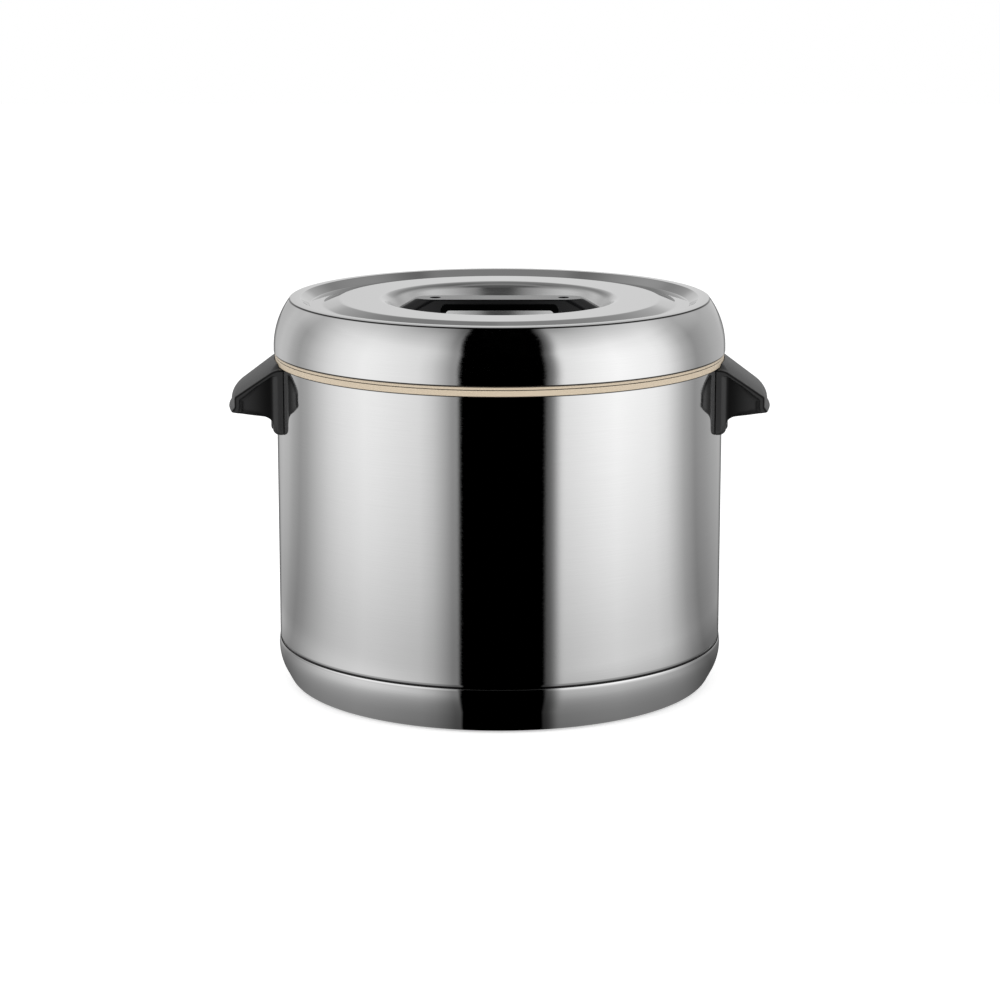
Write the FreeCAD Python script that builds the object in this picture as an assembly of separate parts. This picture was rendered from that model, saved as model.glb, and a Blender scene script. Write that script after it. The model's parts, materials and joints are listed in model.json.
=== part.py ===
import FreeCAD, Part
import math
import os

# An insulated rice warmer: a double-walled steel container with a lift-off lid.
# Millimetres, +Z up, origin on the table under the centre, X through the two side handles.

Vector = FreeCAD.Vector

# Container shell and base pan
body_radius = 180.0
shell_wall = 0.8
shell_height = 227.6
base_height = 37.1
base_wall = 0.7
base_lip = 5.5
base_slope = 28.0
base_shoulder_radius = 43.0
base_foot_radius = 11.0
base_ring_width = 46.0
base_panel_rise = 2.5
base_panel_radius = 3.0
joint_band_wall = 1.0
joint_band_height = 18.0
joint_band_drop = 2.0

# Insulation and inner pot
wall_insulation = 24.4
floor_insulation = 37.2
pot_wall = 0.8
pot_corner_radius = 22.0
pot_lip_radius = 5.0
pot_flange_width = 16.0
insulation_headroom = 1.6

# Plastic rim collar of the container
collar_rib_height = 5.2
collar_rib_overhang = 1.0
collar_wall = 2.7
collar_spigot_depth = 10.0
collar_ledge_drop = 2.0
collar_inner_margin = 5.2
rim_bead_width = 2.0
rim_bead_height = 1.0

# Lid cover
lid_overhang = 2.05
lid_wall = 0.8
lid_skirt_height = 3.3
dome_radius = 63.0
dome_sweep = 35.1
shoulder_radius = 5.2
lid_rise = 42.6
crest_inset = 21.85
valley_inset = 29.5
valley_depth = 5.5
valley_width = 10.35
valley_corner = 1.2
plateau_inset = 53.15
plateau_drop = 1.5
plateau_corner = 8.0
well_radius = 92.0
well_floor_radius = 68.5
well_depth = 30.7
well_edge_radius = 11.0
well_floor_corner = 12.0

# Plastic rim ring, liner and seal of the lid
ring_rib_height = 3.0
ring_rib_overhang = 0.75
ring_gap = 0.2
ring_wall = 2.75
ring_seat_width = 5.3
ring_relief = 0.6
ring_web = 3.5
liner_wall = 0.6
plug_clearance = 4.0
plug_depth = 11.4
plug_corner = 6.0
liner_neck_radius = 2.0
liner_flange_width = 8.0
seal_width = 7.0
seal_height = 3.9
seal_clearance = 0.3
seal_corner = 1.2
seal_outer_margin = 2.0

# Lid handle bridging the well
grip_half_length = 67.0
grip_half_width = 12.8
grip_end_slope = 31.0
grip_plan_corner = 9.0
grip_lip = 4.2
grip_core_half_width = 9.0
grip_core_depth = 9.6
finger_gap_half = 48.5
finger_gap_corner = 2.5
grip_boss_radius = 5.6
grip_screw_offset = 51.7
grip_screw_recess_radius = 4.1
grip_screw_recess_depth = 4.5
grip_plate_half_length = 60.0
grip_plate_half_width = 14.0
grip_plate_thickness = 2.0

# Side handles
handle_half_width = 55.8
handle_taper = 10.0
handle_overhang = 0.8
handle_reach = 36.4
handle_slope = 37.1
handle_nose_radius = 13.0
handle_rise = 4.1
handle_wall = 3.2
handle_nose_drop = 31.6
handle_lip_flare = 2.1
handle_lip_drop = 4.2
handle_lip_radius = 0.8
handle_underside_drop = 39.6
handle_underside_rise = 3.6
handle_underside_corner = 9.0
handle_back_thickness = 4.0
handle_back_arch_drop = 35.9
handle_back_arch_corner = 6.0
leg_bottom_drop = 52.3
leg_inner_half_width = 35.4
leg_corner = 4.0
leg_thickness = 6.3
handle_screw_half_spacing = 44.4
handle_screw_drop = 43.4
handle_seat_height = 2.4
handle_screw_recess_radius = 6.3
handle_plate_wall = 1.5
handle_plate_margin = 12.0

# Fasteners
screw_radius = 2.5
screw_clearance = 0.25
screw_head_radius = 4.4
screw_head_height = 2.8
screw_slot_width = 1.0
screw_slot_depth = 1.1
grip_screw_radius = 2.0
grip_screw_head_radius = 3.7
washer_radius = 6.0
washer_thickness = 1.0
nut_across_flats = 8.0
nut_height = 4.0
nut_clearance = 0.5
screw_end = 1.5
contact_gap = 0.3

# Heights and radii that follow from the sizes above
collar_seat = base_height + shell_height
rim_top = collar_seat + collar_rib_height
ring_top = rim_top + ring_rib_height
lid_edge = ring_top + ring_gap
lid_crest = lid_edge + lid_rise
plateau_height = lid_crest - plateau_drop
well_floor = plateau_height - well_depth
shell_inner = body_radius - shell_wall
pot_outer = shell_inner - wall_insulation
pot_inner = pot_outer - pot_wall
pot_underside = base_wall + floor_insulation
pot_floor = pot_underside + pot_wall
ledge_height = rim_top - collar_ledge_drop
flange_top = ledge_height + pot_wall
flange_edge = pot_inner + pot_flange_width
collar_rib_radius = body_radius + collar_rib_overhang
lid_radius = body_radius + lid_overhang
lid_inner = lid_radius - lid_wall
ring_rib_radius = lid_radius - ring_rib_overhang
plug_radius = pot_inner - plug_clearance
plug_bottom = rim_top - plug_depth
ring_underside = rim_top + ring_relief
base_radius = body_radius + base_wall


def unit(start, end):
    dx = end[0] - start[0]
    dy = end[1] - start[1]
    length = math.hypot(dx, dy)
    return dx / length, dy / length


# The same outline moved sideways, to the left of its direction when the distance is positive.
def offset_outline(points, distance):
    moved = []
    for i, point in enumerate(points):
        before = unit(points[i - 1], point) if i > 0 else unit(point, points[i + 1])
        after = unit(point, points[i + 1]) if i < len(points) - 1 else before
        turn = before[0] * after[1] - before[1] * after[0]
        share = 1.0 + before[0] * after[0] + before[1] * after[1]
        x = point[0] - distance * (before[1] + after[1]) / share
        y = point[1] + distance * (before[0] + after[0]) / share
        radius = point[2]
        if radius > 0 and turn > 0:
            radius = max(radius - distance, 0.0)
        elif radius > 0:
            radius = max(radius + distance, 0.0)
        moved.append((x, y, radius))
    return moved


# Lines joined by tangent arcs: each point is (across, up, corner radius).
def rounded_edges(points, place):
    edges = []
    last = points[0]
    for i in range(1, len(points) - 1):
        point = points[i]
        if point[2] <= 0:
            edges.append(Part.LineSegment(place(*last[:2]), place(*point[:2])).toShape())
            last = point
            continue
        before = unit(points[i - 1], point)
        after = unit(point, points[i + 1])
        cosine = before[0] * after[0] + before[1] * after[1]
        half_turn = math.acos(max(-1.0, min(1.0, cosine))) / 2.0
        reach = point[2] * math.tan(half_turn)
        start = (point[0] - before[0] * reach, point[1] - before[1] * reach)
        end = (point[0] + after[0] * reach, point[1] + after[1] * reach)
        bulge = point[2] / math.cos(half_turn) - point[2]
        towards = unit(point, ((start[0] + end[0]) / 2.0, (start[1] + end[1]) / 2.0))
        middle = (point[0] + towards[0] * bulge, point[1] + towards[1] * bulge)
        if math.dist(last[:2], start) > 1e-6:
            edges.append(Part.LineSegment(place(*last[:2]), place(*start)).toShape())
        edges.append(Part.Arc(place(*start), place(*middle), place(*end)).toShape())
        last = end
    if math.dist(last[:2], points[-1][:2]) > 1e-6:
        edges.append(Part.LineSegment(place(*last[:2]), place(*points[-1][:2])).toShape())
    return edges


def section(x, z):
    return Vector(x, 0, z)


def side_view(y, z):
    return Vector(0, y, z)


def face_of(points, place=section):
    closed = list(points) + [points[0]]
    return Part.Face(Part.Wire(rounded_edges(closed, place)))


# A pressed sheet whose one surface follows the outline, with its wall to the left of it.
def sheet_points(points, wall):
    return list(points) + list(reversed(offset_outline(points, wall)))


def turned(points, angle=360.0):
    return face_of(points).revolve(Vector(0, 0, 0), Vector(0, 0, 1), angle)


def disc(radius, low, high):
    return Part.makeCylinder(radius, high - low, Vector(0, 0, low))


def tube(inner, outer, low, high):
    return disc(outer, low, high).cut(disc(inner, low, high))


def block(x_low, x_high, y_low, y_high, z_low, z_high):
    corner = Vector(x_low, y_low, z_low)
    return Part.makeBox(x_high - x_low, y_high - y_low, z_high - z_low, corner)


def joined(shapes):
    return shapes[0].fuse(shapes[1:]).removeSplitter()


def other_side(shape):
    return shape.mirror(Vector(0, 0, 0), Vector(1, 0, 0))


# Outside of the base pan: a straight lip, a sloping shoulder and a raised middle.
def pan_outline():
    slope = math.radians(base_slope)
    shoulder = base_height - base_lip - base_shoulder_radius * math.tan(slope / 2.0)
    return [
        (base_radius, base_height, 0),
        (base_radius, shoulder, base_shoulder_radius),
        (base_radius - shoulder * math.tan(slope), 0, base_foot_radius),
        (base_radius - base_ring_width, 0, base_panel_radius),
        (base_radius - base_ring_width - base_panel_rise, base_panel_rise, base_panel_radius),
        (0, base_panel_rise, 0),
    ]


def base_pan():
    return turned(sheet_points(pan_outline(), -base_wall))


def outer_shell():
    shell = tube(shell_inner, body_radius, base_height - base_lip, collar_seat)
    return shell.cut(side_screw_shanks(screw_radius + screw_clearance))


def joint_band():
    low = base_height - base_lip - joint_band_drop
    return tube(shell_inner - joint_band_wall, shell_inner, low, low + joint_band_height)


def pot_outline():
    return [
        (flange_edge, flange_top, 0),
        (pot_inner, flange_top, pot_lip_radius),
        (pot_inner, pot_floor, pot_corner_radius),
        (0, pot_floor, 0),
    ]


def inner_pot():
    return turned(sheet_points(pot_outline(), pot_wall))


# The pot without its hollow, to keep the insulation out of it.
def pot_envelope():
    return turned(offset_outline(pot_outline(), pot_wall) + [(0, flange_top, 0)])


def container_cavity():
    pan = turned(offset_outline(pan_outline(), -base_wall) + [(0, base_height, 0)])
    barrel = disc(shell_inner, base_height, insulation_top())
    return joined([pan, barrel]).cut(tube(shell_inner, body_radius, base_height - base_lip, base_height))


def insulation_top():
    return ledge_height - collar_wall - insulation_headroom


def base_insulation():
    below = disc(body_radius, 0, pot_underside)
    return container_cavity().common(below).cut(joint_band())


def wall_foam():
    above = disc(body_radius, pot_underside, insulation_top())
    foam = container_cavity().common(above).cut(pot_envelope())
    foam = foam.cut(joint_band()).cut(rim_collar())
    foam = foam.cut(side_screw_shanks(screw_radius + screw_clearance))
    fittings = [handle_plate(), side_nut_pockets(), side_screws()]
    for fitting in fittings:
        foam = foam.cut(fitting).cut(other_side(fitting))
    return foam


def rim_collar():
    inner = pot_outer + collar_inner_margin
    ledge_edge = flange_edge + rim_bead_width
    return turned(
        [
            (collar_rib_radius, collar_seat, 0.5),
            (collar_rib_radius, rim_top, 0.5),
            (ledge_edge, rim_top, 0.5),
            (ledge_edge, ledge_height, 0),
            (inner, ledge_height, 0),
            (inner, ledge_height - collar_wall, 0),
            (shell_inner - collar_wall, ledge_height - collar_wall, 0),
            (shell_inner - collar_wall, collar_seat - collar_spigot_depth, 0),
            (shell_inner, collar_seat - collar_spigot_depth, 0),
            (shell_inner, collar_seat, 0),
            (body_radius, collar_seat, 0),
        ]
    )


def rim_bead():
    return tube(flange_edge, flange_edge + rim_bead_width, ledge_height, ledge_height + rim_bead_height)


# Outside of the lid cover, from the skirt's edge over the dome and down into the well.
def cover_outline():
    half_sweep = math.radians(dome_sweep) / 2.0
    sweep = math.radians(dome_sweep)
    dome_corner = lid_edge + lid_skirt_height + dome_radius * math.tan(half_sweep)
    crest_corner = lid_radius - (lid_crest - dome_corner) * math.tan(sweep)
    return [
        (lid_radius, lid_edge, 0),
        (lid_radius, dome_corner, dome_radius),
        (crest_corner, lid_crest, shoulder_radius),
        (lid_radius - crest_inset, lid_crest, valley_corner),
        (lid_radius - valley_inset, lid_crest - valley_depth, valley_corner),
        (lid_radius - valley_inset - valley_width, lid_crest - valley_depth, plateau_corner),
        (lid_radius - plateau_inset, plateau_height, plateau_corner),
        (well_radius, plateau_height, well_edge_radius),
        (well_floor_radius, well_floor, well_floor_corner),
        (0, well_floor, 0),
    ]


def lid_cover():
    cover = turned(sheet_points(cover_outline(), lid_wall))
    return cover.cut(grip_shanks(grip_screw_radius + screw_clearance))


def lid_ring():
    seat_edge = ring_rib_radius - ring_seat_width
    seal_outer = flange_edge - seal_outer_margin
    neck = plug_radius - liner_wall
    return turned(
        [
            (ring_rib_radius, rim_top, 0.5),
            (ring_rib_radius, ring_top, 0),
            (lid_inner, ring_top, 0),
            (lid_inner, lid_edge + lid_skirt_height, 0),
            (lid_inner - ring_wall, lid_edge + lid_skirt_height, 0),
            (lid_inner - ring_wall, ring_underside + ring_web, 0),
            (neck, ring_underside + ring_web, 0),
            (neck, ring_underside, 0),
            (seal_outer - seal_width, ring_underside, 0),
            (seal_outer - seal_width, seal_top(), 0),
            (seal_outer, seal_top(), 0),
            (seal_outer, ring_underside, 0),
            (seat_edge, ring_underside, 0),
            (seat_edge, rim_top, 0),
        ]
    )


def seal_top():
    return flange_top + seal_clearance + seal_height


def lid_seal():
    outer = flange_edge - seal_outer_margin
    low = flange_top + seal_clearance
    return turned(
        [
            (outer, seal_top(), 0),
            (outer - seal_width, seal_top(), 0),
            (outer - seal_width, low, seal_corner),
            (outer, low, seal_corner),
        ]
    )


# Outside of the liner, from its flange down the plug to the middle.
def liner_outline():
    flange_height = ring_underside - liner_wall
    return [
        (plug_radius + liner_flange_width, flange_height, 0),
        (plug_radius, flange_height, liner_neck_radius),
        (plug_radius, plug_bottom, plug_corner),
        (0, plug_bottom, 0),
    ]


def lid_liner():
    return turned(sheet_points(liner_outline(), -liner_wall))


def lid_foam():
    cover = offset_outline(cover_outline(), lid_wall)
    liner = offset_outline(liner_outline(), -liner_wall)
    web_top = ring_underside + ring_web
    neck = plug_radius - liner_wall
    foam = turned([(lid_inner, web_top, 0)] + cover[1:] + liner[:1:-1] + [(neck, web_top, 0)])
    foam = foam.cut(grip_shanks(grip_screw_radius + screw_clearance))
    for fitting in [lid_ring(), grip_plate(), grip_nuts(), grip_washers(), grip_screws()]:
        foam = foam.cut(fitting)
    return foam


# The space above the cover's surface inside the well.
def well_space():
    rim = lid_radius - plateau_inset
    outline = cover_outline()[-3:]
    return turned([(rim, plateau_height, 0)] + outline + [(0, lid_crest, 0), (rim, lid_crest, 0)])


def grip_plan(half_length, height):
    corners = [
        (half_length, -grip_half_width, grip_plan_corner),
        (half_length, grip_half_width, grip_plan_corner),
        (-half_length, grip_half_width, grip_plan_corner),
        (-half_length, -grip_half_width, grip_plan_corner),
    ]
    start = (0, -grip_half_width, 0)
    edges = rounded_edges([start] + corners + [start], lambda x, y: Vector(x, y, height))
    return Part.Wire(edges)


# The bar and its two posts: flat on top, with ends that run outwards as they go down.
def grip_body():
    run = well_depth / math.tan(math.radians(grip_end_slope))
    top = grip_plan(grip_half_length, plateau_height)
    bottom = grip_plan(grip_half_length + run, well_floor)
    return Part.makeLoft([top, bottom], True, True)


def finger_gap():
    low = well_floor - lid_wall
    high = plateau_height - grip_lip
    front = face_of(
        [
            (finger_gap_half, low, 0),
            (finger_gap_half, high, finger_gap_corner),
            (-finger_gap_half, high, finger_gap_corner),
            (-finger_gap_half, low, 0),
        ]
    )
    front.translate(Vector(0, -2 * grip_half_width, 0))
    return front.extrude(Vector(0, 4 * grip_half_width, 0))


def lid_handle():
    core_low = plateau_height - grip_core_depth
    reach = finger_gap_half + grip_screw_recess_radius
    half = grip_core_half_width
    core = block(-reach, reach, -half, half, core_low, plateau_height)
    bosses = [
        Part.makeCylinder(grip_boss_radius, plateau_height - well_floor, Vector(x, 0, well_floor))
        for x in (-grip_screw_offset, grip_screw_offset)
    ]
    grip = joined([grip_body().cut(finger_gap()), core] + bosses).common(well_space())
    recess_low = plateau_height - grip_screw_recess_depth
    recesses = [
        Part.makeCylinder(grip_screw_recess_radius, lid_crest - recess_low, Vector(x, 0, recess_low))
        for x in (-grip_screw_offset, grip_screw_offset)
    ]
    grip = grip.cut(recesses).cut(grip_shanks(grip_screw_radius + screw_clearance))
    return grip.removeSplitter()


def grip_stack_low():
    return well_floor - lid_wall - grip_plate_thickness


def grip_shanks(radius):
    low = grip_stack_low() - washer_thickness - nut_height - screw_end
    high = plateau_height - grip_screw_recess_depth
    return Part.makeCompound(
        [
            Part.makeCylinder(radius, high - low, Vector(x, 0, low))
            for x in (-grip_screw_offset, grip_screw_offset)
        ]
    )


# A pan-head screw with a cross recess, its head's seat at the origin and its shank along -Z.
def screw(radius, head_radius, length):
    head = Part.makeCylinder(head_radius, screw_head_height)
    edge = [e for e in head.Edges if e.BoundBox.ZMin > screw_head_height / 2.0]
    head = head.makeFillet(min(head_radius, screw_head_height) * 0.45, edge[:1])
    shank = Part.makeCylinder(radius, length, Vector(0, 0, -length))
    slot_low = screw_head_height - screw_slot_depth
    arm = head_radius * 0.6
    half = screw_slot_width / 2.0
    across = block(-arm, arm, -half, half, slot_low, screw_head_height + 1)
    along = block(-half, half, -arm, arm, slot_low, screw_head_height + 1)
    return joined([head, shank]).cut([across, along])


def washer(hole):
    return Part.makeCylinder(washer_radius, washer_thickness).cut(
        Part.makeCylinder(hole, washer_thickness)
    )


def nut(hole):
    corner = nut_across_flats / math.sqrt(3.0)
    corners = [
        Vector(corner * math.cos(math.radians(a)), corner * math.sin(math.radians(a)), 0)
        for a in range(0, 420, 60)
    ]
    body = Part.Face(Part.makePolygon(corners)).extrude(Vector(0, 0, nut_height))
    return body.cut(Part.makeCylinder(hole, nut_height))


def pair_along_x(shape, height):
    copies = []
    for x in (-grip_screw_offset, grip_screw_offset):
        copy = shape.copy()
        copy.translate(Vector(x, 0, height))
        copies.append(copy)
    return Part.makeCompound(copies)


def grip_screws():
    seat = plateau_height - grip_screw_recess_depth
    end = grip_stack_low() - washer_thickness - nut_height - screw_end
    return pair_along_x(screw(grip_screw_radius, grip_screw_head_radius, seat - end), seat)


def grip_plate():
    low = grip_stack_low()
    plate = block(
        -grip_plate_half_length,
        grip_plate_half_length,
        -grip_plate_half_width,
        grip_plate_half_width,
        low,
        low + grip_plate_thickness,
    )
    return plate.cut(grip_shanks(grip_screw_radius + screw_clearance))


def grip_washers():
    hole = grip_screw_radius + screw_clearance
    return pair_along_x(washer(hole), grip_stack_low() - washer_thickness)


def grip_nuts():
    low = grip_stack_low() - washer_thickness - nut_height
    return pair_along_x(nut(grip_screw_radius), low)


# Outside of a side handle's wing in section: the slope, the nose and the flared lip.
def wing_outline():
    slope = math.tan(math.radians(handle_slope))
    nose = body_radius + handle_reach
    start = body_radius - handle_wall
    top = collar_seat + handle_rise
    flare = nose + handle_lip_flare
    lip = collar_seat - handle_nose_drop - handle_lip_drop
    return [
        (start, top + (body_radius - start) * slope, 0),
        (nose, top - handle_reach * slope, handle_nose_radius),
        (nose, collar_seat - handle_nose_drop, handle_nose_radius / 2.0),
        (flare, lip, handle_lip_radius),
    ]


def swept(points, spread=35.0):
    solid = turned(points, 2 * spread)
    solid.rotate(Vector(0, 0, 0), Vector(0, 0, 1), -spread)
    return solid


# A block whose two ends draw together away from the barrel; half is its half width at the barrel.
def tapered_block(half):
    near = body_radius / 2.0
    far = body_radius + handle_reach * 2
    taper = math.tan(math.radians(handle_taper))
    barrel = math.sqrt(body_radius**2 - half**2)
    near_half = half + (barrel - near) * taper
    far_half = half + (barrel - far) * taper
    corners = [(near, -near_half), (far, -far_half), (far, far_half), (near, near_half)]
    outline = [Vector(x, y, 0) for x, y in corners + corners[:1]]
    height = collar_seat + handle_reach
    return Part.Face(Part.makePolygon(outline)).extrude(Vector(0, 0, height))


def handle_wing():
    wing = swept(sheet_points(wing_outline(), -handle_wall))
    return wing.common(tapered_block(handle_half_width + handle_overhang))


# Everything under the wing's surface, down to the legs' lower ends.
def handle_filling():
    outline = wing_outline()
    start = outline[0]
    bottom = collar_seat - leg_bottom_drop
    nose = outline[2]
    return swept(outline[:2] + [(nose[0], bottom, 0), (start[0], bottom, 0)])


# The upright walls' side view: a leg with a rounded end, and an underside that rises to the nose.
def wall_view():
    inner = body_radius - handle_wall
    leg = body_radius + leg_thickness
    nose = body_radius + handle_reach
    far = nose + handle_reach
    edge = collar_seat - handle_underside_drop
    bottom = collar_seat - leg_bottom_drop
    high = collar_seat + handle_reach
    return swept(
        [
            (inner, bottom, 0),
            (leg, bottom, leg_corner),
            (leg, edge, handle_underside_corner),
            (nose, edge + handle_underside_rise, 0),
            (far, edge + handle_underside_rise, 0),
            (far, high, 0),
            (inner, high, 0),
        ]
    )


def end_walls():
    walls = tapered_block(handle_half_width).cut(tapered_block(handle_half_width - handle_wall))
    return handle_filling().common(walls).common(wall_view())


def inner_ribs():
    reach = body_radius + leg_thickness
    low = leg_inner_half_width
    high = leg_inner_half_width + handle_wall
    top = collar_seat + handle_rise
    slabs = Part.makeCompound([block(0, reach, low, high, 0, top), block(0, reach, -high, -low, 0, top)])
    leg = disc(reach, 0, top)
    return handle_filling().common(slabs).common(leg).common(wall_view())


# The plate between the end walls that lies on the shell and carries the screws.
def handle_back():
    bottom = collar_seat - leg_bottom_drop
    top = collar_seat - contact_gap
    half = [
        (leg_inner_half_width, collar_seat - handle_back_arch_drop, handle_back_arch_corner),
        (leg_inner_half_width, bottom, leg_corner),
        (handle_half_width, bottom, 0),
        (handle_half_width, top, 0),
    ]
    mirrored = [(-y, z, corner) for y, z, corner in reversed(half)]
    plate = face_of(half + mirrored, side_view).extrude(Vector(body_radius * 2, 0, 0))
    back = plate.common(disc(body_radius + handle_back_thickness, 0, collar_seat))
    return back.common(tapered_block(handle_half_width))


def side_handle():
    handle = joined([handle_wing(), end_walls(), inner_ribs(), handle_back()])
    handle = handle.cut(disc(body_radius, 0, lid_crest))
    rib = disc(collar_rib_radius + contact_gap, collar_seat - contact_gap, lid_crest)
    handle = handle.cut(rib)
    recess_depth = handle_back_thickness - handle_seat_height + contact_gap
    recess = Part.makeCylinder(handle_screw_recess_radius, recess_depth)
    handle = handle.cut(along_side_screws(recess, body_radius + handle_seat_height))
    return handle.cut(side_screw_shanks(screw_radius + screw_clearance)).removeSplitter()


# Copies of a shape made along +Z, laid along each screw of the handle on the +X side.
def along_side_screws(shape, distance):
    angle = math.degrees(math.asin(handle_screw_half_spacing / body_radius))
    copies = []
    for turn in (-angle, angle):
        copy = shape.copy()
        copy.translate(Vector(0, 0, distance))
        copy.rotate(Vector(0, 0, 0), Vector(0, 1, 0), 90)
        copy.rotate(Vector(0, 0, 0), Vector(0, 0, 1), turn)
        copy.translate(Vector(0, 0, collar_seat - handle_screw_drop))
        copies.append(copy)
    return Part.makeCompound(copies)


def side_nut_seat():
    inner = shell_inner - handle_plate_wall
    return math.sqrt(inner**2 - (nut_across_flats / math.sqrt(3.0)) ** 2)


def side_screw_length():
    return body_radius + handle_seat_height + washer_thickness - side_nut_seat() + nut_height + screw_end


def side_screw_shanks(radius):
    high = body_radius + handle_seat_height + washer_thickness
    shank = Part.makeCylinder(radius, side_screw_length())
    right = along_side_screws(shank, high - side_screw_length())
    return Part.makeCompound([right, other_side(right)])


def side_screws():
    high = body_radius + handle_seat_height + washer_thickness
    return along_side_screws(screw(screw_radius, screw_head_radius, side_screw_length()), high)


def side_washers():
    return along_side_screws(washer(screw_radius + screw_clearance), body_radius + handle_seat_height)


def side_nuts():
    return along_side_screws(nut(screw_radius), side_nut_seat() - nut_height)


# The round room that the insulation leaves for each nut, from its back to the shell.
def side_nut_pockets():
    low = side_nut_seat() - nut_height - nut_clearance
    pocket = Part.makeCylinder(nut_across_flats / math.sqrt(3.0) + nut_clearance, shell_inner - low)
    return along_side_screws(pocket, low)


# A curved stiffening plate behind the shell, long enough for both screws of a handle.
def handle_plate():
    half = handle_screw_half_spacing + handle_plate_margin
    low = collar_seat - handle_screw_drop - handle_plate_margin
    ring = tube(shell_inner - handle_plate_wall, shell_inner, low, low + 2 * handle_plate_margin)
    plate = ring.common(block(0, body_radius, -half, half, 0, collar_seat))
    return plate.cut(side_screw_shanks(screw_radius + screw_clearance))


def both_sides(shape):
    return Part.makeCompound(shape.Solids + other_side(shape).Solids)


def save(name, shape):
    solids = shape.Solids
    result = solids[0] if len(solids) == 1 else Part.makeCompound(solids)
    result.exportStep(os.path.join("parts", name + ".step"))
    volume = sum(solid.Volume for solid in solids)
    print(f"{name}: {len(solids)} solids, {volume / 1000:.1f} cm3, valid {result.isValid()}")


def main():
    os.makedirs("parts", exist_ok=True)
    save("base_pan", base_pan())
    save("outer_shell", outer_shell())
    save("joint_band", joint_band())
    save("inner_pot", inner_pot())
    save("rim_collar", rim_collar())
    save("rim_bead", rim_bead())
    save("base_insulation", base_insulation())
    save("wall_insulation", wall_foam())
    save("right_handle", side_handle())
    save("left_handle", other_side(side_handle()))
    save("right_handle_plate", handle_plate())
    save("left_handle_plate", other_side(handle_plate()))
    save("handle_screws", both_sides(side_screws()))
    save("handle_washers", both_sides(side_washers()))
    save("handle_nuts", both_sides(side_nuts()))
    save("lid_cover", lid_cover())
    save("lid_ring", lid_ring())
    save("lid_seal", lid_seal())
    save("lid_liner", lid_liner())
    save("lid_insulation", lid_foam())
    save("lid_handle", lid_handle())
    save("lid_handle_plate", grip_plate())
    save("lid_handle_screws", grip_screws())
    save("lid_handle_washers", grip_washers())
    save("lid_handle_nuts", grip_nuts())


main()
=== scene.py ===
import json
import math

import bmesh
import bpy
import numpy as np
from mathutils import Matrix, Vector


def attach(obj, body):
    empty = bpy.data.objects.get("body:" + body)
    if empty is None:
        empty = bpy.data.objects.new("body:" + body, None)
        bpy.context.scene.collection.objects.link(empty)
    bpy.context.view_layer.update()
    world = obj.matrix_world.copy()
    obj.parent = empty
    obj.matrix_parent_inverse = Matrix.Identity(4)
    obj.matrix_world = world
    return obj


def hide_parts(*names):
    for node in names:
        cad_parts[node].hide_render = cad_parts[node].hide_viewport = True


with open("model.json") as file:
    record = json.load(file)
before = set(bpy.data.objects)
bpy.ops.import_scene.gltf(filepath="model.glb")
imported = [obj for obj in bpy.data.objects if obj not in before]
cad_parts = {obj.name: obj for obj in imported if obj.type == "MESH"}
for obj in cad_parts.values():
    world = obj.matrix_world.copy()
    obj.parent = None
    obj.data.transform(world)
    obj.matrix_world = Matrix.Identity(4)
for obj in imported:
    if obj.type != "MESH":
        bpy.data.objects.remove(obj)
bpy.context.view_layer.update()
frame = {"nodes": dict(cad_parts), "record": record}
mm = 0.001
scene = bpy.context.scene
print("frame loaded:", len(frame["nodes"]), "nodes")


def setInput(tree, socket, value):
    if isinstance(value, bpy.types.NodeSocket):
        tree.links.new(value, socket)
    else:
        socket.default_value = value


# Sets or links several inputs of a node by name, with _ for a space.
def fillInputs(tree, node, **values):
    for name, value in values.items():
        setInput(tree, node.inputs[name.replace("_", " ")], value)


def addNode(tree, kind, inputs=None, **settings):
    node = tree.nodes.new(kind)
    for name, value in settings.items():
        setattr(node, name, value)
    for key, value in (inputs or {}).items():
        setInput(tree, node.inputs[key], value)
    return node


def mathNode(tree, operation, *values):
    return addNode(tree, "ShaderNodeMath", dict(enumerate(values)), operation=operation).outputs[0]


def vectorMath(tree, operation, *values, out=0):
    node = addNode(tree, "ShaderNodeVectorMath", dict(enumerate(values)), operation=operation)
    return node.outputs[out]


def joinVector(tree, x=0.0, y=0.0, z=0.0):
    return addNode(tree, "ShaderNodeCombineXYZ", {0: x, 1: y, 2: z}).outputs[0]


def splitVector(tree, vector):
    return addNode(tree, "ShaderNodeSeparateXYZ", {0: vector}).outputs


# A value from start to end becomes low to high, and is held beyond them.
def mapRange(tree, value, low, high, start=0.0, end=1.0):
    ends = {"Value": value, "From Min": start, "From Max": end, "To Min": low, "To Max": high}
    return addNode(tree, "ShaderNodeMapRange", ends).outputs[0]


def noiseNode(tree, place, scale, detail, **others):
    inputs = {"Vector": place, "Scale": scale, "Detail": detail, **others}
    return addNode(tree, "ShaderNodeTexNoise", inputs).outputs[0]


def bumpNode(tree, depth, distance, height):
    inputs = {"Strength": depth, "Distance": distance, "Height": height}
    return addNode(tree, "ShaderNodeBump", inputs).outputs[0]


def mixColour(tree, share, first, second, blend="MIX"):
    inputs = {0: share, 6: first, 7: second}
    return addNode(tree, "ShaderNodeMix", inputs, data_type="RGBA", blend_type=blend).outputs[2]


def grey(value):
    return (value, value, value, 1.0)


def makeGroup(name, kind, inputs, outputs):
    tree = bpy.data.node_groups.new(name, kind)
    for label, socket, value in inputs:
        made = tree.interface.new_socket(label, in_out="INPUT", socket_type="NodeSocket" + socket)
        if value is not None:
            made.default_value = value
    for label, socket in outputs:
        tree.interface.new_socket(label, in_out="OUTPUT", socket_type="NodeSocket" + socket)
    return tree, tree.nodes.new("NodeGroupInput"), tree.nodes.new("NodeGroupOutput")


def placeGroup(tree, group, **inputs):
    node = addNode(tree, "ShaderNodeGroup", node_tree=group)
    fillInputs(tree, node, **inputs)
    return node.outputs


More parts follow.
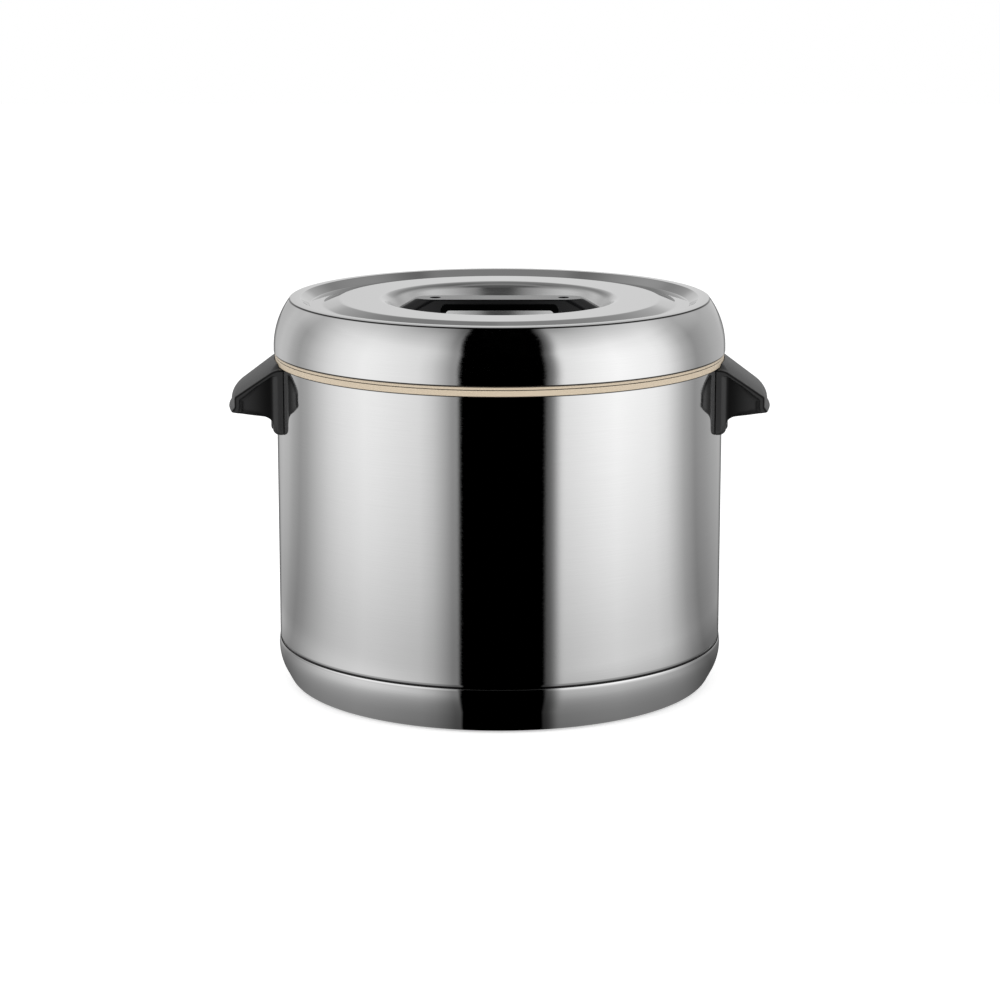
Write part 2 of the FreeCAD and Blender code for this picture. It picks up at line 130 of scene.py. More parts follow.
# Fine turned lines that run round a spun sheet; the map is (turns, metres along the section).
def makeSpunGrain():
    tree, given, out = makeGroup(
        "spunGrain", "ShaderNodeTree",
        [("Map", "Vector", None), ("Around", "Float", 5.0), ("Across", "Float", 2200.0),
         ("Depth", "Float", 0.1), ("Smear Scale", "Float", 5.0)],
        [("Lines", "Float"), ("Smears", "Float"), ("Normal", "Vector")],
    )
    parts = splitVector(tree, given.outputs["Map"])
    angle = mathNode(tree, "MULTIPLY", parts[0], 2 * math.pi)
    ring = joinVector(tree, mathNode(tree, "COSINE", angle), mathNode(tree, "SINE", angle))
    inputs = {0: ring, "Scale": given.outputs["Around"]}
    along = addNode(tree, "ShaderNodeVectorMath", inputs, operation="SCALE").outputs[0]
    lift = joinVector(tree, z=mathNode(tree, "MULTIPLY", parts[1], given.outputs["Across"]))
    lines = noiseNode(tree, vectorMath(tree, "ADD", along, lift), 1.0, 3.0, Roughness=0.6)
    rise = joinVector(tree, z=mathNode(tree, "MULTIPLY", parts[1], 18.0))
    smears = noiseNode(
        tree, vectorMath(tree, "ADD", ring, rise), given.outputs["Smear Scale"], 2.0, Roughness=0.5
    )
    bump = bumpNode(tree, given.outputs["Depth"], 0.0002, lines)
    fillInputs(tree, out, Lines=lines, Smears=smears, Normal=bump)
    return tree


# The faint pebbled skin and flow marks of a moulded plastic.
def makeMouldSkin():
    tree, given, out = makeGroup(
        "mouldSkin", "ShaderNodeTree",
        [("Place", "Vector", None), ("Pebble Scale", "Float", 1500.0), ("Flow Scale", "Float", 14.0),
         ("Depth", "Float", 0.2)],
        [("Pebbles", "Float"), ("Flow", "Float"), ("Normal", "Vector")],
    )
    place = given.outputs["Place"]
    pebbles = noiseNode(tree, place, given.outputs["Pebble Scale"], 2.0, Roughness=0.55)
    flow = noiseNode(tree, place, given.outputs["Flow Scale"], 3.0, Distortion=0.6)
    bump = bumpNode(tree, given.outputs["Depth"], 0.0003, pebbles)
    fillInputs(tree, out, Pebbles=pebbles, Flow=flow, Normal=bump)
    return tree


# A mask that is 1 on worn outer edges and 0 elsewhere, broken up a little.
def makeEdgeWear():
    tree, given, out = makeGroup(
        "edgeWear", "ShaderNodeTree",
        [("Place", "Vector", None), ("From", "Float", 0.53), ("To", "Float", 0.6)],
        [("Wear", "Float")],
    )
    pointed = addNode(tree, "ShaderNodeNewGeometry").outputs["Pointiness"]
    ramp = mapRange(tree, pointed, 0.0, 1.0, given.outputs["From"], given.outputs["To"])
    breaks = noiseNode(tree, given.outputs["Place"], 260.0, 3.0)
    fillInputs(tree, out, Wear=mathNode(tree, "MULTIPLY", ramp, breaks))
    return tree


spunGrain = makeSpunGrain()
mouldSkin = makeMouldSkin()
edgeWear = makeEdgeWear()


def newMaterial(name):
    material = bpy.data.materials.new(name)
    material.use_nodes = True
    tree = material.node_tree
    return material, tree, tree.nodes["Principled BSDF"]


def objectPlace(tree):
    return addNode(tree, "ShaderNodeTexCoord").outputs["Object"]


# How much painted shade a seam, edge or recess gets, from 0 to 1, stored on the piece.
def paintedShadeMask(tree):
    return addNode(tree, "ShaderNodeAttribute", attribute_name="crease").outputs["Fac"]


# Sheet steel turned on a lathe: polished outside, satin inside, and hazier within the radius
# that "drawn" gives as (start, end, roughness).
def spunSteel(name, look):
    material, tree, shader = newMaterial(name)
    grain = placeGroup(
        tree, spunGrain, Map=addNode(tree, "ShaderNodeUVMap", uv_map="UVMap").outputs[0],
        Around=look["around"], Across=look["across"], Depth=look["depth"],
        Smear_Scale=look["smearScale"],
    )
    colour = mixColour(tree, grain["Lines"], grey(look["dark"]), grey(look["light"]))
    rough = mapRange(tree, grain["Smears"], look["roughLow"], look["roughHigh"])
    if "drawn" in look:
        start, end, haze = look["drawn"]
        flat = vectorMath(tree, "MULTIPLY", objectPlace(tree), (1.0, 1.0, 0.0))
        away = vectorMath(tree, "LENGTH", flat, out="Value")
        rough = mathNode(tree, "ADD", rough, mapRange(tree, away, haze, 0.0, start, end))
    # painted shade: the base colour goes dark along the seams and edges that a piece marks
    fillInputs(
        tree, shader, Base_Color=mixColour(tree, paintedShadeMask(tree), colour, grey(look["crease"])),
        Roughness=rough, Normal=grain["Normal"], Metallic=1.0,
    )
    return material


# Steel of small stamped and turned parts, brushed without a direction.
def plainSteel(name, look):
    material, tree, shader = newMaterial(name)
    skin = placeGroup(
        tree, mouldSkin, Place=objectPlace(tree), Pebble_Scale=look["grainScale"], Flow_Scale=40.0,
        Depth=look["depth"],
    )
    fillInputs(
        tree, shader, Normal=skin["Normal"], Metallic=1.0,
        Base_Color=mixColour(tree, skin["Flow"], grey(look["dark"]), grey(look["light"])),
        Roughness=mapRange(tree, skin["Pebbles"], look["roughLow"], look["roughHigh"]),
    )
    return material


# Moulded plastic or rubber, with painted shade where a piece marks it: a darker colour, and a dark metal
# share that takes the gloss out too.
def mouldedPlastic(name, look):
    material, tree, shader = newMaterial(name)
    place, crease = objectPlace(tree), paintedShadeMask(tree)
    skin = placeGroup(
        tree, mouldSkin, Place=place, Pebble_Scale=look["pebbleScale"], Flow_Scale=look["flowScale"],
        Depth=look["depth"],
    )
    colour = mixColour(tree, skin["Flow"], look["dark"], look["light"])
    colour = mixColour(tree, placeGroup(tree, edgeWear, Place=place)["Wear"], colour, look["worn"])
    fillInputs(
        tree, shader, Base_Color=mixColour(tree, crease, colour, look["crease"]),
        Roughness=mapRange(tree, skin["Flow"], look["roughLow"], look["roughHigh"]),
        Normal=skin["Normal"], IOR=look["ior"],
    )
    # painted shade also takes the gloss out of the marked places, as a dark metal
    if "shadeDulling" in look:
        fillInputs(tree, shader, Metallic=mathNode(tree, "MULTIPLY", crease, look["shadeDulling"]))
    return material


# each finish's dark colour for painted shade is used where a piece marks its seams, edges and recesses
finishes = {
    "steel": spunSteel("polishedSteel", {
        "light": 0.80, "dark": 0.74, "around": 5.0, "across": 2600.0, "depth": 0.06,
        "smearScale": 2.0, "roughLow": 0.01, "roughHigh": 0.035,
        "crease": 0.03, "drawn": (0.086, 0.094, 0.2),
    }),
    "pot_steel": spunSteel("satinSteel", {
        "light": 0.72, "dark": 0.64, "around": 5.0, "across": 1500.0, "depth": 0.08,
        "smearScale": 2.0, "roughLow": 0.2, "roughHigh": 0.32, "crease": 0.1,
    }),
    "fastener_steel": plainSteel("fastenerSteel", {
        "light": 0.62, "dark": 0.5, "grainScale": 1800.0, "depth": 0.1, "roughLow": 0.18,
        "roughHigh": 0.34,
    }),
    "cream_plastic": mouldedPlastic("creamPlastic", {
        "light": (0.72, 0.605, 0.455, 1), "dark": (0.66, 0.55, 0.41, 1), "worn": (0.76, 0.66, 0.52, 1),
        "crease": (0.05, 0.04, 0.03, 1), "pebbleScale": 1200.0, "flowScale": 9.0,
        "depth": 0.05, "roughLow": 0.3, "roughHigh": 0.4, "ior": 1.5,
    }),
    "black_plastic": mouldedPlastic("blackPlastic", {
        "light": (0.014, 0.014, 0.0145, 1), "dark": (0.009, 0.009, 0.0095, 1),
        "worn": (0.03, 0.03, 0.03, 1), "crease": (0.002, 0.002, 0.002, 1), "shadeDulling": 0.95,
        "pebbleScale": 2200.0, "flowScale": 18.0, "depth": 0.16, "roughLow": 0.3, "roughHigh": 0.42,
        "ior": 1.5,
    }),
    "silicone": mouldedPlastic("siliconeRubber", {
        "light": (0.60, 0.60, 0.58, 1), "dark": (0.53, 0.53, 0.51, 1), "worn": (0.66, 0.66, 0.64, 1),
        "crease": (0.1, 0.1, 0.1, 1), "pebbleScale": 900.0, "flowScale": 25.0,
        "depth": 0.1, "roughLow": 0.5, "roughHigh": 0.62, "ior": 1.41,
    }),
    "foam": mouldedPlastic("foamFilling", {
        "light": (0.82, 0.74, 0.5, 1), "dark": (0.7, 0.6, 0.36, 1), "worn": (0.86, 0.8, 0.6, 1),
        "crease": (0.4, 0.35, 0.2, 1), "pebbleScale": 500.0, "flowScale": 60.0,
        "depth": 0.8, "roughLow": 0.8, "roughHigh": 0.95, "ior": 1.3,
    }),
}
gripBlack = mouldedPlastic("gripBlack", {
    "light": (0.008, 0.008, 0.0085, 1), "dark": (0.005, 0.005, 0.0055, 1),
    "worn": (0.02, 0.02, 0.02, 1), "crease": (0.002, 0.002, 0.002, 1), "shadeDulling": 0.97,
    "pebbleScale": 2200.0, "flowScale": 18.0, "depth": 0.05, "roughLow": 0.1, "roughHigh": 0.18,
    "ior": 1.38,
})
fittingSteel = plainSteel("bandSteel", {
    "light": 0.7, "dark": 0.6, "grainScale": 900.0, "depth": 0.08, "roughLow": 0.15, "roughHigh": 0.25,
})

# Inside pieces with no new shape keep their solids and get a finish here.
for part in frame["record"]["subparts"]:
    node = frame["nodes"][part["node"]]
    slotName = part["material_slot"]
    metal = fittingSteel if slotName in ("steel", "pot_steel") else None
    node.data.materials.clear()
    node.data.materials.append(metal or finishes[slotName])
print("finishes made:", len(finishes))


def unitStep(start, end):
    dx, dy = end[0] - start[0], end[1] - start[1]
    length = math.hypot(dx, dy)
    return dx / length, dy / length


# The outline moved sideways, to the left of its direction when the distance is positive.
def offsetOutline(points, distance):
    moved = []
    for i, point in enumerate(points):
        before = unitStep(points[i - 1], point) if i > 0 else unitStep(point, points[i + 1])
        after = unitStep(point, points[i + 1]) if i < len(points) - 1 else before
        turn = before[0] * after[1] - before[1] * after[0]
        share = 1.0 + before[0] * after[0] + before[1] * after[1]
        x = point[0] - distance * (before[1] + after[1]) / share
        y = point[1] + distance * (before[0] + after[0]) / share
        radius = point[2]
        if radius > 0:
            radius = max(radius - distance if turn > 0 else radius + distance, 0.0)
        moved.append((x, y, radius))
    return moved


# Samples an outline of (across, up, corner radius) points, with extra points beside each curve
# so that the flat stretches stay flat when shaded.
def sampleOutline(points, error=0.006, beside=0.5):
    made = [points[0][:2]]
    for i, point in enumerate(points[1:-1], 1):
        if point[2] <= 0:
            made.append(point[:2])
            continue
        before, after = unitStep(points[i - 1], point), unitStep(point, points[i + 1])
        cosine = before[0] * after[0] + before[1] * after[1]
        turn = math.acos(max(-1.0, min(1.0, cosine)))
        reach = point[2] * math.tan(turn / 2)
        side = 1.0 if before[0] * after[1] - before[1] * after[0] > 0 else -1.0
        start = (point[0] - before[0] * reach, point[1] - before[1] * reach)
        centre = (start[0] - side * before[1] * point[2], start[1] + side * before[0] * point[2])
        steps = max(3, math.ceil(turn / (2 * math.acos(max(-1, 1 - error / point[2])))))
        if math.dist(made[-1], start) > 2 * beside:
            made.append((start[0] - before[0] * beside, start[1] - before[1] * beside))
        for k in range(steps + 1):
            angle = side * turn * k / steps
            dx, dy = start[0] - centre[0], start[1] - centre[1]
            made.append(
                (centre[0] + dx * math.cos(angle) - dy * math.sin(angle),
                 centre[1] + dx * math.sin(angle) + dy * math.cos(angle))
            )
        following = points[i + 1]
        end = made[-1]
        if math.dist(end, following[:2]) > 2 * beside + following[2]:
            made.append((end[0] + after[0] * beside, end[1] + after[1] * beside))
    made.append(points[-1][:2])
    clean = [made[0]]
    for point in made[1:]:
        if math.dist(point, clean[-1]) > 1e-4:
            clean.append(point)
    return clean


def newObject(name, data):
    made = bpy.data.objects.new(name, data)
    scene.collection.objects.link(made)
    return made


def dressPiece(piece, body, nodes):
    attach(piece, body)
    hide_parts(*nodes)


def namedAttribute(tree, name, kind="FLOAT"):
    return addNode(
        tree, "GeometryNodeInputNamedAttribute", {"Name": name}, data_type=kind
    ).outputs[0]


# The end of each geometry tree: plain geometry with its finish.
def finishTree(tree, given, out, geometry):
    whole = addNode(tree, "GeometryNodeRealizeInstances", {"Geometry": geometry}).outputs[0]
    inputs = {"Geometry": whole, "Material": given.outputs["Finish"]}
    setInput(tree, out.inputs[0], addNode(tree, "GeometryNodeSetMaterial", inputs).outputs[0])
    return tree


# Turns a section about the upright axis, and carries over its length and its painted shade.
def makeLatheTree():
    tree, given, out = makeGroup(
        "latheTurning", "GeometryNodeTree",
        [("Section", "Geometry", None), ("Segments", "Int", 360), ("Finish", "Material", None)],
        [("Turned", "Geometry")],
    )
    section, segments = given.outputs["Section"], given.outputs["Segments"]
    count = addNode(tree, "GeometryNodeAttributeDomainSize", {0: section}).outputs["Point Count"]
    columns = mathNode(tree, "ADD", segments, 1.0)
    grid = addNode(
        tree, "GeometryNodeMeshGrid", {"Vertices X": columns, "Vertices Y": count}
    ).outputs["Mesh"]
    index = addNode(tree, "GeometryNodeInputIndex").outputs[0]
    column = mathNode(tree, "FLOOR", mathNode(tree, "DIVIDE", mathNode(tree, "ADD", index, 0.25), count))
    row = mathNode(tree, "SUBTRACT", index, mathNode(tree, "MULTIPLY", column, count))
    turns = mathNode(tree, "DIVIDE", column, segments)
    angle = mathNode(tree, "MULTIPLY", turns, 2 * math.pi)

    def fromSection(value, kind="FLOAT"):
        inputs = {"Geometry": section, "Index": row, "Value": value}
        return addNode(tree, "GeometryNodeSampleIndex", inputs, data_type=kind).outputs[0]

    def store(geometry, name, value, kind, domain):
        inputs = {"Geometry": geometry, "Name": name, "Value": value}
        return addNode(
            tree, "GeometryNodeStoreNamedAttribute", inputs, data_type=kind, domain=domain
        ).outputs[0]

    position = addNode(tree, "GeometryNodeInputPosition").outputs[0]
    point = splitVector(tree, fromSection(position, "FLOAT_VECTOR"))
    turned = joinVector(
        tree, mathNode(tree, "MULTIPLY", point[0], mathNode(tree, "COSINE", angle)),
        mathNode(tree, "MULTIPLY", point[0], mathNode(tree, "SINE", angle)), point[2],
    )
    flat = joinVector(tree, turns, fromSection(namedAttribute(tree, "along")))
    onPoints = addNode(
        tree, "GeometryNodeFieldOnDomain", {0: flat}, domain="POINT", data_type="FLOAT_VECTOR"
    ).outputs[0]
    mapped = store(grid, "UVMap", onPoints, "FLOAT2", "CORNER")
    marked = store(mapped, "crease", fromSection(namedAttribute(tree, "crease")), "FLOAT", "POINT")
    shaped = addNode(
        tree, "GeometryNodeSetPosition", {"Geometry": marked, "Position": turned}
    ).outputs[0]
    closed = addNode(
        tree, "GeometryNodeMergeByDistance", {"Geometry": shaped, "Distance": 1e-6}
    ).outputs[0]
    smooth = addNode(tree, "GeometryNodeSetShadeSmooth", {"Geometry": closed}).outputs[0]
    return finishTree(tree, given, out, smooth)


latheTree = makeLatheTree()


def socketId(tree, name):
    inputs = [item for item in tree.interface.items_tree if item.in_out == "INPUT"]
    return next(item.identifier for item in inputs if item.name == name)


# Runs an object's node tree and leaves its result as a plain mesh.
def settle(piece, tree, **inputs):
    modifier = piece.modifiers.new("shape", "NODES")
    modifier.node_group = tree
    for name, value in inputs.items():
        modifier[socketId(tree, name)] = value
    bpy.context.view_layer.update()
    result = bpy.data.meshes.new_from_object(
        piece.evaluated_get(bpy.context.evaluated_depsgraph_get())
    )
    piece.modifiers.clear()
    piece.data = result


def pointFacesOut(mesh, sharp=32):
    work = bmesh.new()
    work.from_mesh(mesh)
    bmesh.ops.remove_doubles(work, verts=work.verts, dist=1e-7)
    bmesh.ops.recalc_face_normals(work, faces=work.faces)
    work.to_mesh(mesh)
    work.free()
    mesh.set_sharp_from_angle(angle=math.radians(sharp))


def between(start, end, share):
    return tuple(a + (b - a) * share for a, b in zip(start, end))


# Adds points to an outline near its painted shade lines and gives each point its painted shade there; a
# line is (across, up, reach).
def markShadeLines(points, shadeLines):
    made = [points[0]]
    for start, end in zip(points, points[1:]):
        length = math.dist(start, end)
        for x, z, reach in shadeLines:
            along = ((x - start[0]) * (end[0] - start[0]) + (z - start[1]) * (end[1] - start[1])) / length
            near = between(start, end, min(max(along / length, 0.0), 1.0))
            if length > reach / 2 and math.dist(near, (x, z)) < reach:
                shares = [(along + step * reach / 3.5) / length for step in range(-4, 5)]
                made += [between(start, end, share) for share in shares if 0.02 < share < 0.98]
        made.append(end)
    marks = []
    for point in made:
        nearest = max([1 - math.dist(point, (x, z)) / reach for x, z, reach in shadeLines] + [0.0])
        marks.append(min(1.0, 2.5 * nearest))
    return made, marks


def turnedObject(name, outline, finish, segments, shadeLines=()):
    points, marks = markShadeLines(sampleOutline(outline), shadeLines)
    mesh = bpy.data.meshes.new(name)
    mesh.from_pydata(
        [(x * mm, 0, z * mm) for x, z in points], [(i, i + 1) for i in range(len(points) - 1)], []
    )
    steps = [0.0] + [math.dist(*pair) * mm for pair in zip(points, points[1:])]
    for label, values in (("along", np.cumsum(steps)), ("crease", marks)):
        mesh.attributes.new(label, "FLOAT", "POINT")
        mesh.attributes[label].data.foreach_set("value", values)
    piece = newObject(name, mesh)
    settle(piece, latheTree, Segments=segments, Finish=finishes[finish])
    piece.data.name = name
    pointFacesOut(piece.data)
    print("turned", name, len(points), "points,", len(piece.data.polygons), "faces")
    return piece


def turnedPiece(name, outline, finish, body, node, shadeLines=()):
    dressPiece(turnedObject(name, outline, finish, 360, shadeLines), body, [node])


# A section that ends where it starts.
def loop(points):
    return points + points[:1]


# Both faces of a sheet, with its edge rounded where it ends away from the axis.
def sheetOutline(points, wall, edge=0.3):
    other = offsetOutline(points, wall)
    first, last = points[0][:2], other[0][:2]
    middle = between(first, last, 0.5) + (0,)
    return loop([middle, first + (edge,)] + points[1:] + other[:0:-1] + [last + (edge,)])


shell = {
    "radius": 180.0, "wall": 0.8, "low": 31.6, "top": 264.7, "joint": 37.1, "tuck": 0.5,
    "tuckUp": 1.4, "tuckRound": 0.8, "flareUp": 3.0, "flareRound": 1.6, "edge": 0.2, "lowEdge": 0.1,
    "jointUp": 0.5, "jointShade": 1.3, "topShade": 0.5,
}
shellInner, shellTuck = shell["radius"] - shell["wall"], shell["radius"] - shell["tuck"]
# painted shade: a dark line in the joint above the pan and one at the barrel's top edge
turnedPiece(
    "barrel",
    loop([
        (shellInner, shell["low"], 0), (shellTuck, shell["low"], shell["lowEdge"]),
        (shellTuck, shell["joint"] + shell["tuckUp"], shell["tuckRound"]),
        (shell["radius"], shell["joint"] + shell["flareUp"], shell["flareRound"]),
        (shell["radius"], shell["top"], shell["edge"]), (shellInner, shell["top"], shell["edge"]),
    ]),
    "steel", "container", "outer_shell",
    shadeLines=[(shellTuck, shell["joint"] + shell["jointUp"], shell["jointShade"]),
             (shell["radius"], shell["top"], shell["topShade"])],
)

pan = {
    "radius": 180.75, "height": 37.1, "upright": 34.5, "lip": 10.0, "lean": 14.0, "bulge": 31.3,
    "bend": 38.0, "slope": 28.0, "foot": 11.0, "ringInner": 134.7, "panelRise": 2.5,
    "panelRadius": 3.0, "wall": 0.7,
}


# The pan's lip leans in to the barrel; below it the side bends in to the foot.
def panOutline():
    lean, slope, radius = math.radians(pan["lean"]), math.radians(pan["slope"]), pan["radius"]
    lipLow = pan["upright"] + pan["lip"] * math.tan(lean / 2)
    cornerZ = pan["bulge"] - pan["bend"] * math.tan(slope / 2)
    return [
        (radius - (pan["height"] - lipLow) * math.tan(lean), pan["height"], 0),
        (radius, lipLow, pan["lip"]),
        (radius, cornerZ, pan["bend"]),
        (radius - cornerZ * math.tan(slope), 0, pan["foot"]),
        (pan["ringInner"], 0, pan["panelRadius"]),
        (pan["ringInner"] - pan["panelRise"], pan["panelRise"], pan["panelRadius"]),
        (0, pan["panelRise"], 0),
    ]


turnedPiece("basePan", sheetOutline(panOutline(), -pan["wall"]), "steel", "container", "base_pan")

cover = {
    "radius": 182.05, "edge": 273.1, "skirt": 3.3, "domeRadius": 63.0, "domeSweep": 35.1,
    "shoulder": 1.6, "rise": 42.6, "crestInset": 21.85, "crestTop": 18.0, "crestFall": 0.35,
    "crestRound": 6.0, "valleyInset": 29.5, "valleyDepth": 5.5, "valleyWidth": 10.35,
    "valleyCorner": 1.2, "plateauInset": 53.15, "plateauDrop": 1.5, "plateauCorner": 8.0,
    "wellRadius": 92.0, "wellFloorRadius": 68.5, "wellDepth": 30.7, "wellEdge": 11.0,
    "wellFloorCorner": 12.0, "wall": 0.8, "seam": 0.85, "seamDown": 0.55, "edgeShade": 0.45,
}


# The cover's section and its painted shade lines: the seam under the rolled crest and the skirt's edge.
def coverSection():
    c, sweep = cover, math.radians(cover["domeSweep"])
    radius, crest = c["radius"], c["edge"] + c["rise"]
    plateau, valley = crest - c["plateauDrop"], radius - c["valleyInset"]
    floor, corner = plateau - c["wellDepth"], crest - c["crestFall"]
    dome = c["edge"] + c["skirt"] + c["domeRadius"] * math.tan(sweep / 2)
    cornerX = radius - (corner - dome) * math.tan(sweep)
    seam = (cornerX + c["seamDown"] * math.sin(sweep), corner - c["seamDown"] * math.cos(sweep))
    points = [
        (radius, c["edge"], 0),
        (radius, dome, c["domeRadius"]),
        (cornerX, corner, c["shoulder"]),
        (radius - c["crestTop"], crest, c["crestRound"]),
        (radius - c["crestInset"], crest, c["valleyCorner"]),
        (valley, crest - c["valleyDepth"], c["valleyCorner"]),
        (valley - c["valleyWidth"], crest - c["valleyDepth"], c["plateauCorner"]),
        (radius - c["plateauInset"], plateau, c["plateauCorner"]),
        (c["wellRadius"], plateau, c["wellEdge"]),
        (c["wellFloorRadius"], floor, c["wellFloorCorner"]),
        (0, floor, 0),
    ]
    return points, [seam + (c["seam"],), (radius, c["edge"], c["edgeShade"])]


coverPoints, coverShadeLines = coverSection()
turnedPiece(
    "lidCover", sheetOutline(coverPoints, cover["wall"]), "steel", "lid", "lid_cover",
    shadeLines=coverShadeLines,
)


# A deep or shallow dish with a flange, from the flange's edge to the middle of the floor.
def dishOutline(dish):
    return [
        (dish["flange"], dish["top"], 0),
        (dish["radius"], dish["top"], dish["neck"]),
        (dish["radius"], dish["floor"], dish["corner"]),
        (0, dish["floor"], 0),
    ]


pot = {
    "flange": 170.0, "top": 268.7, "radius": 154.0, "neck": 5.0, "floor": 38.7, "corner": 22.0,
    "wall": 0.8,
}
liner = {
    "flange": 158.0, "top": 269.9, "radius": 150.0, "neck": 2.0, "floor": 258.5, "corner": 6.0,
    "wall": 0.6,
}
turnedPiece(
    "innerPot", sheetOutline(dishOutline(pot), pot["wall"]), "pot_steel", "container", "inner_pot"
)
turnedPiece(
    "lidLiner", sheetOutline(dishOutline(liner), -liner["wall"]), "pot_steel", "lid", "lid_liner"
)
print("steel turned")

# The container's cream rim: a rib over the barrel's edge, a ledge for the pot and a spigot.
collar = {
    "rib": 181.0, "low": 264.7, "top": 269.9, "ribStart": 2.4, "ribRound": 0.9, "shell": 180.0,
    "shellInner": 179.2, "clear": 0.02, "ledgeEdge": 172.0, "ledge": 267.9, "ledgeRound": 0.5,
    "ledgeFillet": 0.2, "inner": 160.0, "wall": 2.7, "spigot": 254.7, "edge": 0.6, "lowIn": 0.3,
    "lowShade": 0.8, "topIn": 0.6, "topShade": 0.7,
}


def collarOutline():
    c = collar
    under, bore, fit = c["ledge"] - c["wall"], c["shellInner"] - c["wall"], c["shellInner"] - c["clear"]
    return loop([
        (c["rib"], c["low"] + c["ribStart"], 0), (c["rib"], c["top"], c["ribRound"]),
        (c["ledgeEdge"], c["top"], c["ledgeRound"]), (c["ledgeEdge"], c["ledge"], c["ledgeFillet"]),
        (c["inner"], c["ledge"], c["edge"]), (c["inner"], under, c["edge"]),
        (bore, under, c["ledgeRound"]), (bore, c["spigot"], c["edge"]), (fit, c["spigot"], c["edge"]),
        (fit, c["low"], 0), (c["shell"], c["low"], 0), (c["rib"], c["low"], c["edge"]),
    ])


# painted shade: dark lines in the gaps along the rib's lower and upper edges
turnedPiece(
    "rimCollar", collarOutline(), "cream_plastic", "container", "rim_collar",
    shadeLines=[(collar["rib"] - collar["lowIn"], collar["low"], collar["lowShade"]),
             (collar["rib"] - collar["topIn"], collar["top"], collar["topShade"])],
)

bead = {
    "inner": 170.0, "middle": 171.0, "outer": 172.0, "low": 267.9, "top": 268.9, "foot": 0.1,
    "crown": 0.5,
}
turnedPiece(
    "rimBead",
    loop([
        (bead["middle"], bead["low"], 0), (bead["outer"], bead["low"], bead["foot"]),
        (bead["outer"], bead["top"], bead["crown"]), (bead["inner"], bead["top"], bead["crown"]),
        (bead["inner"], bead["low"], bead["foot"]),
    ]),
    "silicone", "container", "rim_bead",
)

# The lid's cream rim: a rib under the skirt's edge, a web across to the liner, a seat for the seal.
ring = {
    "rib": 181.3, "low": 269.9, "top": 272.9, "ribStart": 1.5, "ribRound": 0.7, "ribEdge": 0.5,
    "skirtInner": 181.25, "clear": 0.02, "rise": 276.4, "wall": 2.75, "edge": 0.4,
    "underside": 270.5, "web": 3.5, "neck": 149.4, "sealOuter": 168.0, "sealWidth": 7.0,
    "sealTop": 272.9, "sealEdge": 0.2, "seatEdge": 176.0, "seatRound": 0.3, "topShade": 1.0,
    "lowIn": 0.5, "lowShade": 0.6,
}


def ringOutline():
    c = ring
    fit, inner = c["skirtInner"] - c["clear"], c["skirtInner"] - c["wall"]
    web, groove = c["underside"] + c["web"], c["sealOuter"] - c["sealWidth"]
    return loop([
        (c["rib"], c["low"] + c["ribStart"], 0), (c["rib"], c["top"], c["ribEdge"]),
        (fit, c["top"], 0), (fit, c["rise"], c["edge"]), (inner, c["rise"], c["edge"]),
        (inner, web, 0), (c["neck"], web, 0), (c["neck"], c["underside"], c["edge"]),
        (groove, c["underside"], c["sealEdge"]), (groove, c["sealTop"], 0),
        (c["sealOuter"], c["sealTop"], 0), (c["sealOuter"], c["underside"], c["sealEdge"]),
        (c["seatEdge"], c["underside"], 0), (c["seatEdge"], c["low"], c["seatRound"]),
        (c["rib"], c["low"], c["ribRound"]),
    ])


# painted shade: dark lines in the gaps along the rib's upper and lower edges
turnedPiece(
    "lidRing", ringOutline(), "cream_plastic", "lid", "lid_ring",
    shadeLines=[(ring["rib"], ring["top"], ring["topShade"]),
             (ring["rib"] - ring["lowIn"], ring["low"], ring["lowShade"])],
)

seal = {"outer": 167.98, "middle": 165.0, "inner": 161.02, "top": 272.9, "low": 269.0, "corner": 1.2}
turnedPiece(
    "lidSeal",
    loop([
        (seal["middle"], seal["top"], 0), (seal["inner"], seal["top"], 0),
        (seal["inner"], seal["low"], seal["corner"]), (seal["outer"], seal["low"], seal["corner"]),
        (seal["outer"], seal["top"], 0),
    ]),
    "silicone", "lid", "lid_seal",
)
print("rims turned")


# A moulded piece is a rule that gives the distance to its surface in millimetres, below zero inside.
# This is the rounded corner between two faces; angle is the turn between their outward directions.
def wedge(first, second, angle, radius):
    cosine, sine = math.cos(angle), math.sin(angle)
    u, v = first + radius, second + radius
    corner = np.sqrt(np.maximum(u * u + v * v - 2 * u * v * cosine, 1e-12)) / sine
    beyond = (v > u * cosine) & (u > v * cosine)
    return np.where(beyond, corner, np.maximum(u, v)) - radius


# Two shapes joined with a fillet between them.
def filletJoin(first, second, radius):
    bend = np.hypot(np.maximum(radius - first, 0), np.maximum(radius - second, 0))
    return np.maximum(radius, np.minimum(first, second)) - bend


# What two shapes share, with its edge rounded.
def roundCut(first, second, radius):
    bend = np.hypot(np.maximum(radius + first, 0), np.maximum(radius + second, 0))
    return np.minimum(-radius, np.maximum(first, second)) + bend


# From 0 to 1 with a smooth start and end.
def ease(value):
    share = np.clip(value, 0.0, 1.0)
    return share * share * (3 - 2 * share)


# The same from a start and over a length.
def blend(value, span):
    return ease((value - span[0]) / span[1])


# The distance to a closed outline, below zero inside it.
def outlineDistance(points, across, up):
    nearest, inside = np.full(np.broadcast(across, up).shape, 1e9), False
    for (ax, ay), (bx, by) in zip(points, points[1:] + points[:1]):
        dx, dy = bx - ax, by - ay
        share = np.clip(((across - ax) * dx + (up - ay) * dy) / (dx * dx + dy * dy), 0, 1)
        gap = (across - ax - share * dx) ** 2 + (up - ay - share * dy) ** 2
        nearest = np.minimum(nearest, gap)
        if ay != by:
            crosses = (ay > up) != (by > up)
            inside = inside ^ (crosses & (across < ax + (up - ay) * dx / dy))
    return np.where(inside, -1, 1) * np.sqrt(nearest)


